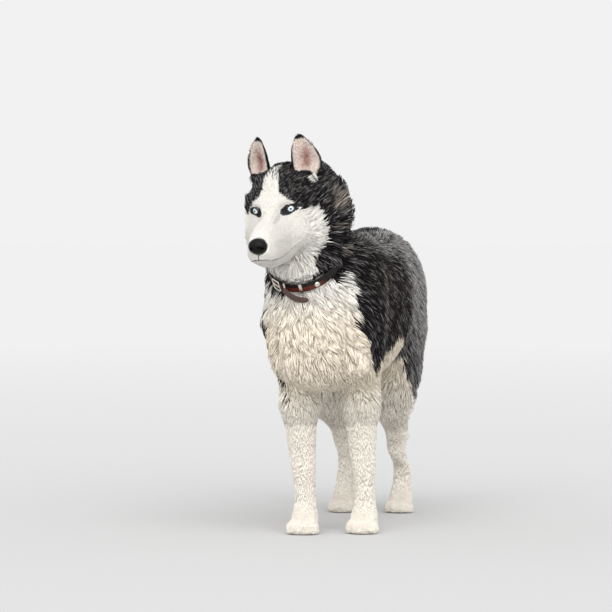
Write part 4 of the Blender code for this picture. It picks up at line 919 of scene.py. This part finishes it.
def bareness(points, lips):
    # no fur on the nose, the eyes, the lips, under the strap or on the soles
    head = toHead(points)
    own = toOwn(points)
    collar = toCollar(points)
    nose = (head - np.array((0, -0.108, -0.042))) / np.array((0.020, 0.017, 0.0165))
    bare = step((1.15 - np.linalg.norm(nose, axis=1)) / 0.1)
    for sign in (-1, 1):
        bare = np.maximum(bare, (eyeDistance(head, sign) < 1.08).astype(float))
    bare = np.maximum(bare, (own[:, 2] < 0.005).astype(float))
    strap = (np.abs(collar[:, 2]) < 0.011) & (np.linalg.norm(collar, axis=1) < 0.13)
    mouth = np.full(len(points), 1.0)
    for place in lips:
        mouth = np.minimum(mouth, np.linalg.norm(points - place, axis=1))
    byMouth = step((lipSettings["bare"] - mouth) / 0.0008 + 0.5)
    return np.maximum.reduce([bare, strap.astype(float), byMouth])


def onSkin(tree, places):
    found = [tree.find_nearest(place)[:2] for place in places]
    return asArray([place for place, _ in found]), asArray([normal for _, normal in found])


def tuftMesh(name, tuft, index, material, long, chance):
    count = len(index)
    root, normal, clump, measure = (tuft[key][index] for key in ("root", "normal", "clump", "measure"))
    offset = root - tuft["paths"][0, clump]
    clumping = np.clip((measure[:, 3] - 0.006) / 0.006, 0.08, 1.0)
    gather = ((0.25 + 0.35 * chance.random(count)) * clumping)[:, None]
    lengthen = chance.uniform(0.70, 1.15, count) * np.minimum(1.0, measure[:, 0] / tuft["clumpLength"][index])
    jitter = unit(chance.normal(size=(count, 3))) * (measure[:, 0] * chance.uniform(0.0, 0.09, count))[:, None]
    lift = measure[:, 2] * chance.uniform(0.45, 1.2, count)
    width = measure[:, 1] * chance.uniform(0.75, 1.25, count)
    places, sides = [root - normal * 0.0010], [normal]
    for share in (0.30, 0.68, 1.0) if long else (0.42, 1.0):
        where = np.clip(share * lengthen, 0, 1.0)
        up = unit(alongSteps(tuft["ups"], clump, where))
        place = alongSteps(tuft["paths"], clump, where) + offset * (1 - gather * share) + jitter * share ** 1.5
        place, near = onSkin(tuft["tree"], place)
        places.append(place + near * (lift * (1 - (1 - share) ** 2.0) + 0.0002)[:, None])
        sides.append(unit(up * 0.5 + near))
    # a tuft that folds back on itself is left out
    keep = np.ones(count, bool)
    for number in range(1, len(places) - 1):
        before, after = unit(places[number] - places[number - 1]), unit(places[number + 1] - places[number])
        keep &= ((before * after).sum(1) > 0.1) & (np.abs((after * sides[number]).sum(1)) < 0.92)
    index, width = index[keep], width[keep]
    places, sides = [place[keep] for place in places], [side[keep] for side in sides]
    colours = tuft["rootColour"][index], tuft["tipColour"][index]
    spindles(name, places, sides, width, tuft["uv"][index], colours, material)


patchSize = 0.003  # of the unwrap's width, for each tuft


def spindles(name, places, sides, width, uv, colours, material):
    # a tuft runs from a point in the skin over one or two three-sided rings to its tip
    rings = len(places) - 2
    count = len(width)
    widths = (1.0, 0.72) if rings == 2 else (1.0,)
    corners = [places[0]]
    for number in range(1, rings + 1):
        along = unit(places[number + 1] - places[number - 1])
        side = unit(np.cross(along, sides[number]))
        up = unit(np.cross(side, along))
        half = (width * 0.5 * widths[number - 1])[:, None]
        corners += [places[number] + side * half - up * half * 0.25, places[number] + up * half * 0.7,
                    places[number] - side * half - up * half * 0.25]
    corners.append(places[-1])
    per = len(corners)
    faces = []
    for corner in range(3):
        following = (corner + 1) % 3
        faces.append((1 + corner, 1 + following, 0))
        if rings == 2:
            faces.append((1 + following, 1 + corner, 4 + corner))
            faces.append((1 + following, 4 + corner, 4 + following))
        last = 1 + 3 * (rings - 1)
        faces.append((last + following, last + corner, per - 1))
    faces = (np.array(faces)[None] + (np.arange(count) * per)[:, None, None]).reshape(-1, 3)
    mesh = bpy.data.meshes.new(name)
    mesh.vertices.add(count * per)
    mesh.vertices.foreach_set("co", np.stack(corners, 1).ravel())
    mesh.loops.add(len(faces) * 3)
    mesh.loops.foreach_set("vertex_index", faces.ravel())
    mesh.polygons.add(len(faces))
    mesh.polygons.foreach_set("loop_start", np.arange(len(faces)) * 3)
    mesh.update(calc_edges=True)
    rootColour, tipColour = colours
    shares = (0.05, 0.45) if rings == 2 else (0.25,)
    shades = [rootColour]
    for number in range(rings):
        shades += [rootColour + (tipColour - rootColour) * shares[number]] * 3
    shades.append(tipColour)
    paint(mesh, "coat", np.stack(shades, 1).reshape(-1, 3))
    # each tuft is a small patch at its root's place on the skin's unwrap
    layer = mesh.uv_layers.new(name="OFBake")
    half = patchSize / 2
    patch = [(0.0, -half)]
    for number in range(rings):
        patch += [(across, -half + patchSize * (number + 1) / (rings + 1)) for across in (-half, 0.0, half)]
    patch.append((0.0, half))
    places = (uv[:, None, :] + np.array(patch)[None]).reshape(-1, 2)
    layer.data.foreach_set("uv", places[faces.ravel()].ravel())
    mesh.shade_smooth()
    mesh.materials.append(material)
    item = newObject(name, mesh)
    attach(item, "root")
    print(name, count, "tufts", len(faces), "triangles")


def alongSteps(values, clump, where):
    bounds = np.array(steps)
    slot = np.clip(np.searchsorted(bounds, where, side="right") - 1, 0, len(steps) - 2)
    share = ((where - bounds[slot]) / (bounds[slot + 1] - bounds[slot]))[:, None]
    return values[slot, clump] * (1 - share) + values[slot + 1, clump] * share


largestPiece = 195000  # triangles, past which a region of the coat is split


def dressDog(skin, material, lips):
    tuft = growCoat(skin, lieOfCoat(skin), lips)
    # the marking at the middle of each tuft gives its colour
    paths, clump = tuft["paths"], tuft["clump"]
    middle = alongSteps(paths, clump, np.full(len(clump), 0.5)) - paths[0, clump]
    middle = tuft["root"] + middle * np.minimum(1.0, tuft["measure"][:, 0] / tuft["clumpLength"])[:, None]
    tuft["rootColour"], tuft["tipColour"] = coatColour(middle, tuft["normal"], seed)
    x, y, z = tuft["own"].T
    isHead = headness(tuft["root"]) > 0
    short = tuft["measure"][:, 0] < 0.020
    fore = y < -0.02
    left = x >= 0
    isTail = ~short & (y > 0.482) & (z > 0.16)
    trunk = ~short & ~isHead & ~isTail
    rump = y >= 0.22
    hind = y >= 0.2
    regions = (
        ("coat_face", isHead & short, "coat_white"),
        ("coat_cheeks", isHead & ~short, "coat_white"),
        ("coat_legs_front", ~isHead & short & ~hind, "coat_white"),
        ("coat_legs_hind", ~isHead & short & hind, "coat_white"),
        ("coat_tail", ~isHead & isTail, "coat_black"),
        ("coat_neck", trunk & fore & (z > 0.50), "coat_black"),
        ("coat_chest", trunk & fore & (z <= 0.50), "coat_white"),
        ("coat_side_left", trunk & ~fore & left & ~rump, "coat_black"),
        ("coat_side_right", trunk & ~fore & ~left & ~rump, "coat_black"),
        ("coat_rump_left", trunk & left & rump, "coat_black"),
        ("coat_rump_right", trunk & ~left & rump, "coat_black"),
    )
    for name, chosen, slot in regions:
        long = name not in ("coat_face", "coat_legs_front", "coat_legs_hind")
        order = np.nonzero(chosen)[0]
        groups = np.array_split(order, math.ceil(len(order) * (12 if long else 6) / largestPiece))
        for number, group in enumerate(groups):
            label = name if len(groups) == 1 else f"{name}_{number + 1}"
            tuftMesh(label, tuft, group, material, long, seed)


def unwrapSkin(skin):
    print("unwrap")
    selectOnly(skin)
    bpy.ops.object.mode_set(mode="EDIT")
    bpy.ops.mesh.select_all(action="SELECT")
    bpy.ops.uv.smart_project(angle_limit=math.radians(66), island_margin=0.004)
    bpy.ops.object.mode_set(mode="OBJECT")
    skin.data.uv_layers[0].name = "OFBake"


# Ears

def earMaterial():
    # thin ear leather with short hair: black behind, cream to pink inside
    material, tree, shader = newMaterial("ear leather", Roughness=0.75, Subsurface_Weight=0.05)
    colourFrom(tree, shader, "coat")
    return material


# height, distance from the middle of the head and half width of the ear
earShape = ((0.036, 0.0480, 0.0170), (0.054, 0.0520, 0.0285), (0.064, 0.0530, 0.0310), (0.075, 0.0528, 0.0306),
            (0.086, 0.0513, 0.0282), (0.098, 0.0492, 0.0238), (0.108, 0.0474, 0.0188), (0.117, 0.0458, 0.0136),
            (0.128, 0.0440, 0.0034))

# density in tufts per square metre
earSettings = dict(voxel=0.0012, sink=0.0012, splay=26.0, density=420000.0, length=0.0075, width=0.0011,
                   stand=0.0016, liningLength=0.0095)


def earParts(points, normals, side):
    # how far a place faces into the cup of the ear, and the colour of its coat
    head = toHead(points)
    sign = 1 if side == "left" else -1
    turn = np.array(headFrame.to_3x3())
    splay = math.radians(earSettings["splay"])
    forward = turn @ np.array((sign * math.sin(splay), -math.cos(splay), 0.0))
    inside = step((normals @ forward - 0.10) / 0.40)
    black, cream, red = (np.array(linear(coatColours[key])) for key in ("black", "earCream", "earRed"))
    heights, middles, halfWidths = np.array(earShape).T
    centre = np.interp(head[:, 2], heights, middles)
    halfWidth = np.interp(head[:, 2], heights, halfWidths)
    reach = (head[:, 0] * sign - centre) * math.cos(splay) + (head[:, 1] - 0.081) * math.sin(splay)
    inside *= step((0.90 - np.abs(reach) / halfWidth) / 0.14) * step((0.119 - head[:, 2]) / 0.006)
    across = head[:, 0] * sign - 0.051
    middle = np.exp(-((across + 0.002) / 0.0085) ** 2)
    middle *= step((0.108 - head[:, 2]) / 0.03) * step((head[:, 2] - 0.045) / 0.02)
    lining = cream + (red - cream) * (middle * 0.75)[:, None]
    return inside, black * (1 - inside)[:, None] + lining * inside[:, None]


def makeEar(side, material, hairMaterial):
    ear = newObject("ear_leather_" + side, mergedCopy("ear_" + side))
    mesh = remeshed(ear, earSettings["voxel"])
    points, edges = readPoints(mesh), readEdges(mesh)
    points = smoothed(points, edges, np.full(len(points), 0.5), 8)
    writePoints(mesh, points)
    points = points - readNormals(mesh) * earSettings["sink"]
    writePoints(mesh, points)
    _, colour = earParts(points, readNormals(mesh), side)
    paint(mesh, "coat", colour)
    mesh.shade_smooth()
    mesh.materials.append(material)
    unwrapSkin(ear)
    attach(ear, "root")
    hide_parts("ear_" + side)
    earCoat(side, ear, hairMaterial)


def earCoat(side, ear, material):
    # short hair up the back of the ear, longer pale hair out of its cup and over its inner rim
    mesh = ear.data
    points, normals = readPoints(mesh), readNormals(mesh)
    weights, corners, loops = scatter(mesh, np.full(len(points), earSettings["density"]), seed)
    roots = blend(points, corners, weights)
    up = unit(blend(normals, corners, weights))
    inside, colour = earParts(roots, up, side)
    sign = 1 if side == "left" else -1
    turn = np.array(headFrame.to_3x3())
    head = toHead(roots)
    count = len(roots)
    way = turn @ np.array((0, 0, 1.0))
    out = turn @ np.array((sign * 0.05, -0.25, 0.95))
    lie = way + (out - way) * inside[:, None] + seed.normal(size=(count, 3)) * 0.16
    lie = unit(lie - up * (lie * up).sum(1)[:, None])
    length = earSettings["length"] + (earSettings["liningLength"] - earSettings["length"]) * inside
    length = length * seed.uniform(0.6, 1.15, count) * (0.45 + 0.55 * step((0.128 - head[:, 2]) / 0.03))
    stand = earSettings["stand"] * (1 + 0.8 * inside) * seed.uniform(0.4, 1.2, count)
    places = [roots - up * 0.0008, roots + lie * (length * 0.42)[:, None] + up * (stand * 0.65)[:, None],
              roots + lie * length[:, None] + up * stand[:, None]]
    width = earSettings["width"] * seed.uniform(0.7, 1.2, count)
    shade = np.minimum(colour * seed.uniform(1.0, 1.3, count)[:, None], 0.95)
    uv = rootUvs(mesh, loops, weights)
    # painted shade: each ear tuft is coloured 10 % darker at its root than at its tip
    colours = shade, np.clip(shade * 1.1, 0, 1)
    spindles("coat_ear_" + side, places, [up] * 3, width, uv, colours, material)


# Nose

def noseMaterial():
    # moist black nose leather: pebbled, 0.8 mm grain
    material, tree, shader = newMaterial("nose leather", Roughness=0.36, Specular_IOR_Level=0.16)
    place = addNode(tree, "ShaderNodeTexCoord")
    grain = addNode(tree, "ShaderNodeTexVoronoi", {"Scale": 1200.0}, {"Vector": place.outputs["Object"]})
    addBump(tree, shader, grain.outputs["Distance"], 0.5, 0.0005, invert=True)
    shader.inputs["Base Color"].default_value = (*linear("#060506"), 1)
    return material


noseVoxel = 0.0006


def makeNose():
    nose = newObject("nose_leather", mergedCopy("nose"))
    mesh = remeshed(nose, noseVoxel)
    points, edges = readPoints(mesh), readEdges(mesh)
    writePoints(mesh, smoothed(points, edges, np.full(len(points), 0.5), 6))
    mesh.shade_smooth()
    mesh.materials.append(noseMaterial())
    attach(nose, "root")
    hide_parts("nose")


# Lids, lips and claws

def fromShape(name, shape, material):
    bmesh.ops.recalc_face_normals(shape, faces=shape.faces)
    mesh = bpy.data.meshes.new(name)
    shape.to_mesh(mesh)
    shape.free()
    mesh.shade_smooth()
    mesh.materials.append(material)
    return newObject(name, mesh)


def loft(shape, rings, closed=False):
    # a surface over rings of places, capped at its ends unless it closes on itself
    rings = [[shape.verts.new(place) for place in ring] for ring in rings]
    for one, two in zip(rings, rings[1:] + rings[:1] if closed else rings[1:]):
        for side in range(len(one)):
            following = (side + 1) % len(one)
            shape.faces.new((one[side], one[following], two[following], two[side]))
    if not closed:
        shape.faces.new(list(reversed(rings[0])))
        shape.faces.new(rings[-1])


def tube(name, points, radius, material, closed=False, sides=8, taper=False):
    # a round rim swept along points
    points = asArray(points)
    count = len(points)
    ahead = np.roll(points, -1, axis=0) - np.roll(points, 1, axis=0)
    if not closed:
        ahead[0], ahead[-1] = points[1] - points[0], points[-1] - points[-2]
    ahead = unit(ahead)
    middle = points.mean(0)
    first = unit(np.cross(ahead, points - middle))
    second = unit(np.cross(ahead, first))
    size = np.full(count, radius)
    if taper:
        size = radius * (0.25 + 0.75 * np.sin(np.linspace(0.0, math.pi, count)) ** 0.5)
    angles = np.arange(sides) * 2 * math.pi / sides
    shape = bmesh.new()
    loft(shape, [[place + (one * math.cos(angle) + two * math.sin(angle)) * reach for angle in angles]
                 for place, one, two, reach in zip(points, first, second, size)], closed)
    item = fromShape(name, shape, material)
    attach(item, "root")


def lipMaterial():
    # bare black skin of the lids and lips, slightly moist, with pores 0.5 mm apart
    material, tree, shader = newMaterial("lip and lid leather", Roughness=0.45, IOR=1.45)
    pores = addGrain(tree, 1800.0, 2.0).outputs["Fac"]
    tree.links.new(addTint(tree, "#17120F", "#2C2320", pores), shader.inputs["Base Color"])
    addBump(tree, shader, pores, 0.3, 0.0003)
    return material


def lidPath(sign):
    axis = gaze(sign)
    side = Vector((0, 0, 1)).cross(axis).normalized() * -sign
    side = side if side.x * sign > 0 else -side
    up = axis.cross(side)
    up = up if up.z > 0 else -up
    slant, wide, high = (math.radians(eyeSettings[key]) for key in ("slant", "wide", "high"))
    centre = Vector((sign * dog["eyeSpacing"], dog["eyeDepth"], 0.0))
    distance = dog["eyeRadius"] + eyeSettings["lidProud"]
    placed = []
    for angle in np.arange(40) * 2 * math.pi / 40:
        across = math.cos(angle)
        rise = math.sin(angle) * (1.0 - 0.35 * across * across)
        yaw = wide * (across * math.cos(slant) - 0.5 * rise * math.sin(slant))
        pitch = high * rise + wide * across * math.sin(slant)
        way = axis + side * math.tan(yaw) + up * math.tan(pitch)
        placed.append(headFrame @ (centre + way.normalized() * distance))
    return placed


# along the left side of the head: depth and height
mouthLine = ((-0.014, -0.066), (-0.026, -0.071), (-0.040, -0.075), (-0.056, -0.0775), (-0.072, -0.0765),
             (-0.086, -0.0745), (-0.096, -0.0725))

# bare: the width without hair beside the lips
lipSettings = dict(proud=0.0007, radius=0.0012, bare=0.0020, under=0.0022,
                   cleftProud=0.0005, cleftRadius=0.0009)


def mouthPath():
    turn = headFrame.to_3x3()
    tree = BVHTree.FromPolygons([v.co for v in nodes["head"].data.vertices],
                                [tuple(f.vertices) for f in nodes["head"].data.polygons])

    def touch(start, way):
        way = (turn @ Vector(way)).normalized()
        return tree.ray_cast(headFrame @ Vector(start), way)[0] - way * lipSettings["under"]

    front = []
    for angle in (60, 40, 20, 0, -20, -40, -60):
        way = Vector((math.sin(math.radians(angle)), -math.cos(math.radians(angle)), 0))
        start = Vector((0, -0.085, -0.070 - abs(angle) * 0.00003)) + way * 0.08
        front.append(touch(start, -way))
    left = [touch((0.09, y, z), (-1, 0, 0)) for y, z in mouthLine]
    right = [touch((-0.09, y, z), (1, 0, 0)) for y, z in reversed(mouthLine)]
    return left + front + right


def evenly(points, count):
    points = asArray(points)
    run = np.concatenate([[0], np.cumsum(np.linalg.norm(np.diff(points, axis=0), axis=1))])
    where = np.linspace(0, run[-1], count)
    smooth = np.stack([np.interp(where, run, points[:, axis]) for axis in range(3)], 1)
    for _ in range(6):
        smooth[1:-1] = smooth[1:-1] * 0.5 + (smooth[:-2] + smooth[2:]) * 0.25
    return smooth


def makeLips(skin, material):
    tree = BVHTree.FromObject(skin, bpy.context.evaluated_depsgraph_get())
    path = evenly(mouthPath(), 72)
    for _ in range(3):
        place, up = onSkin(tree, path)
        path = place + up * lipSettings["proud"]
        path[1:-1] = path[1:-1] * 0.5 + (path[:-2] + path[2:]) * 0.25
    tube("lips", path, lipSettings["radius"], material, taper=True)
    front = path[len(path) // 2]
    top = np.array(headFrame @ Vector((0, -0.1150, -0.053)))
    cleft, up = onSkin(tree, [top + (front - top) * share for share in (0.0, 0.25, 0.5, 0.75, 1.0)])
    tube("philtrum", cleft + up * lipSettings["cleftProud"], lipSettings["cleftRadius"], material)
    return np.concatenate([path, cleft])


# toes: across and ahead of the middle of the foot; feet: where each stands, and its size
clawSettings = dict(length=0.0160, root=0.0031, curve=0.0022, height=0.0125,
                    toes=((-0.0245, 0.020), (-0.0088, 0.033), (0.0088, 0.033), (0.0245, 0.020)),
                    feet=((0.058, 0.014, 1.0), (-0.056, -0.026, 1.0),
                          (0.048, 0.446, 0.94), (-0.075, 0.432, 0.94)))


def clawMaterial():
    # claw horn: dark, smooth, with fine lengthwise growth lines
    material, tree, shader = newMaterial("claw horn", Roughness=0.35, IOR=1.54)
    lines = addGrain(tree, 420.0, 2.0).outputs["Fac"]
    tree.links.new(addTint(tree, "#2A2422", "#5A4D45", lines), shader.inputs["Base Color"])
    return material


def makeClaws(material):
    shape = bmesh.new()
    length, height = clawSettings["length"], clawSettings["height"]
    for x, y, size in clawSettings["feet"]:
        for across, ahead in clawSettings["toes"]:
            base = shift + Vector((x + across * size, y - ahead * size - height * size, height))
            rings = []
            for number in range(6):
                share = number / 5
                centre = base + Vector((0, -length * 0.85, -length * 0.5)) * share
                centre.z += clawSettings["curve"] * math.sin(math.pi * share)
                radius = clawSettings["root"] * (1 - share) ** 0.6 + 0.0002
                rings.append([centre + Vector((radius * 0.8 * math.cos(angle), 0, radius * math.sin(angle)))
                              for angle in np.arange(10) * math.pi * 2 / 10])
            loft(shape, rings)
    item = fromShape("claws", shape, material)
    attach(item, "root")


# Collar

def strapMaterial():
    # oiled red-brown bridle leather with a black top layer, dark burnished edges and a 1 mm grain
    material, tree, shader = newMaterial("bridle leather", Roughness=0.45, Specular_IOR_Level=0.2)
    place = addNode(tree, "ShaderNodeTexCoord")
    away = addNode(tree, "ShaderNodeVectorMath", {"operation": "SUBTRACT", 1: tuple(collarMid)},
                   {0: place.outputs["Object"]})
    colour = addTint(tree, "#3A1713", "#6B2E22", addGrain(tree, 70.0, 3.0).outputs["Fac"])
    layers = (collarUp, 0.0022, 0.0034, "#0D0A0A"), (collarAcross, 0.040, 0.052, "#100B0B")
    for way, start, end, dark in layers:
        run = addNode(tree, "ShaderNodeVectorMath", {"operation": "DOT_PRODUCT", 1: tuple(way)},
                      {0: away.outputs["Vector"]})
        share = addNode(tree, "ShaderNodeMapRange", {1: start, 2: end}, {0: run.outputs["Value"]})
        colour = addTint(tree, colour, dark, share.outputs["Result"])
    tree.links.new(colour, shader.inputs["Base Color"])
    addBump(tree, shader, addGrain(tree, 900.0, 3.0).outputs["Fac"], 0.4, 0.0003)
    return material


def tongueMaterial():
    # the loose end, worn greyer and duller on its rough side
    material, tree, shader = newMaterial("worn bridle leather", Roughness=0.6)
    worn = addTint(tree, "#392321", "#5B4541", addGrain(tree, 90.0, 2.0).outputs["Fac"])
    tree.links.new(worn, shader.inputs["Base Color"])
    addBump(tree, shader, addGrain(tree, 700.0, 3.0).outputs["Fac"], 0.4, 0.0003)
    return material


def metalMaterial():
    # nickel-plated steel, brightly worn with fine scratches
    material, tree, shader = newMaterial("nickel-plated steel", Metallic=1.0)
    scratch = addGrain(tree, 500.0, 4.0).outputs["Fac"]
    tree.links.new(addTint(tree, "#CFC8BE", "#F2EEE6", scratch), shader.inputs["Base Color"])
    rough = addNode(tree, "ShaderNodeMapRange", {3: 0.18, 4: 0.36}, {0: scratch})
    tree.links.new(rough.outputs["Result"], shader.inputs["Roughness"])
    return material


def dressCollar():
    strap, tongue, metal = strapMaterial(), tongueMaterial(), metalMaterial()
    for name, material in (("collar_strap", strap), ("collar_strap_end", tongue), ("collar_buckle", metal),
                           ("collar_loop", metal), ("collar_ring", metal), ("collar_stud", metal)):
        for slot in nodes[name].material_slots:
            slot.material = material


# Stage

# drop: how far the camera looks down, as a slope
camera = dict(lens=169.4, sensor=36.0, height=0.62, distance=5.82, sideways=-0.0616, azimuth=13.0,
              drop=80 / 2880)


def makeCamera():
    turn = math.radians(camera["azimuth"])
    right = Vector((math.cos(turn), math.sin(turn), 0))
    ahead = Vector((-math.sin(turn), math.cos(turn), 0))
    data = bpy.data.cameras.new("camera")
    data.lens = camera["lens"]
    data.sensor_width = camera["sensor"]
    data.clip_end = 100
    item = bpy.data.objects.new("camera", data)
    bpy.context.scene.collection.objects.link(item)
    item.location = shift + Vector((0, 0, camera["height"])) - ahead * camera["distance"]
    item.location += right * camera["sideways"]
    pitch = math.atan(camera["drop"])
    look = ahead * math.cos(pitch) - Vector((0, 0, math.sin(pitch)))
    item.rotation_mode = "QUATERNION"
    item.rotation_quaternion = look.to_track_quat("-Z", "Y")
    bpy.context.scene.camera = item


def floorMaterial():
    # matt pale paper, with painted shade making it a touch darker close by than far off
    material, tree, shader = newMaterial("matt studio floor", Roughness=0.95, Specular_IOR_Level=0.0)
    place = addNode(tree, "ShaderNodeTexCoord")
    away = addNode(tree, "ShaderNodeVectorMath", {"operation": "LENGTH"}, {0: place.outputs["Object"]})
    far = addNode(tree, "ShaderNodeMapRange", {1: 0.8, 2: 9.0}, {0: away.outputs["Value"]})
    tint = addTint(tree, stage["nearFloor"], stage["farFloor"], far.outputs["Result"])
    tree.links.new(tint, shader.inputs["Base Color"])
    return material


# nearFloor and farFloor: the floor's colour close by and far off, the darker near colour being painted shade
stage = dict(nearFloor="#C1C1C1", farFloor="#CCCCCC", sky=0.885, sun=2.6, sunFrom=(0.30, -1.0, 0.87),
             fill=0.7, fillFrom=(-0.1, -1.0, 0.08), softness=70.0)


def makeStage():
    bpy.ops.object.select_all(action="DESELECT")
    bpy.ops.mesh.primitive_circle_add(vertices=128, radius=90, fill_type="NGON", location=(0, 0, -0.0002))
    floor = bpy.context.object
    floor.name = "floor"
    floor.data.materials.append(floorMaterial())
    world = bpy.data.worlds.new("studio")
    bpy.context.scene.world = world
    world.use_nodes = True
    background = world.node_tree.nodes["Background"]
    background.inputs["Color"].default_value = (1.0, 1.0, 1.0, 1)
    background.inputs["Strength"].default_value = stage["sky"]
    for name, power, origin in (("soft key", "sun", "sunFrom"), ("low fill", "fill", "fillFrom")):
        sun = bpy.data.lights.new(name, "SUN")
        sun.energy = stage[power]
        sun.angle = math.radians(stage["softness"])
        item = bpy.data.objects.new(name, sun)
        item.rotation_mode = "QUATERNION"
        item.rotation_quaternion = (-Vector(stage[origin])).to_track_quat("-Z", "Y")
        bpy.context.scene.collection.objects.link(item)
    bpy.context.scene.view_settings.view_transform = "Standard"


def finishSkin(skin):
    colour, _ = coatColour(readPoints(skin.data), readNormals(skin.data), seed)
    paint(skin.data, "coat", colour)
    skin.data.materials.clear()
    skin.data.materials.append(skinMaterial())
    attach(skin, "root")
    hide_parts(*fleshNodes)


makeCamera()
makeStage()
dressCollar()
hair = furMaterial()
skin = makeSkin()
unwrapSkin(skin)
finishSkin(skin)
eyeGloss = eyeMaterial()
leather = lipMaterial()
for sign, side in ((1, "left"), (-1, "right")):
    makeEye(sign, side, eyeGloss)
    tube("eyelids_" + side, lidPath(sign), eyeSettings["lidRadius"], leather, closed=True)
earSkin = earMaterial()
for side in ("left", "right"):
    makeEar(side, earSkin, hair)
makeNose()
lips = makeLips(skin, leather)
makeClaws(clawMaterial())
dressDog(skin, hair, lips)
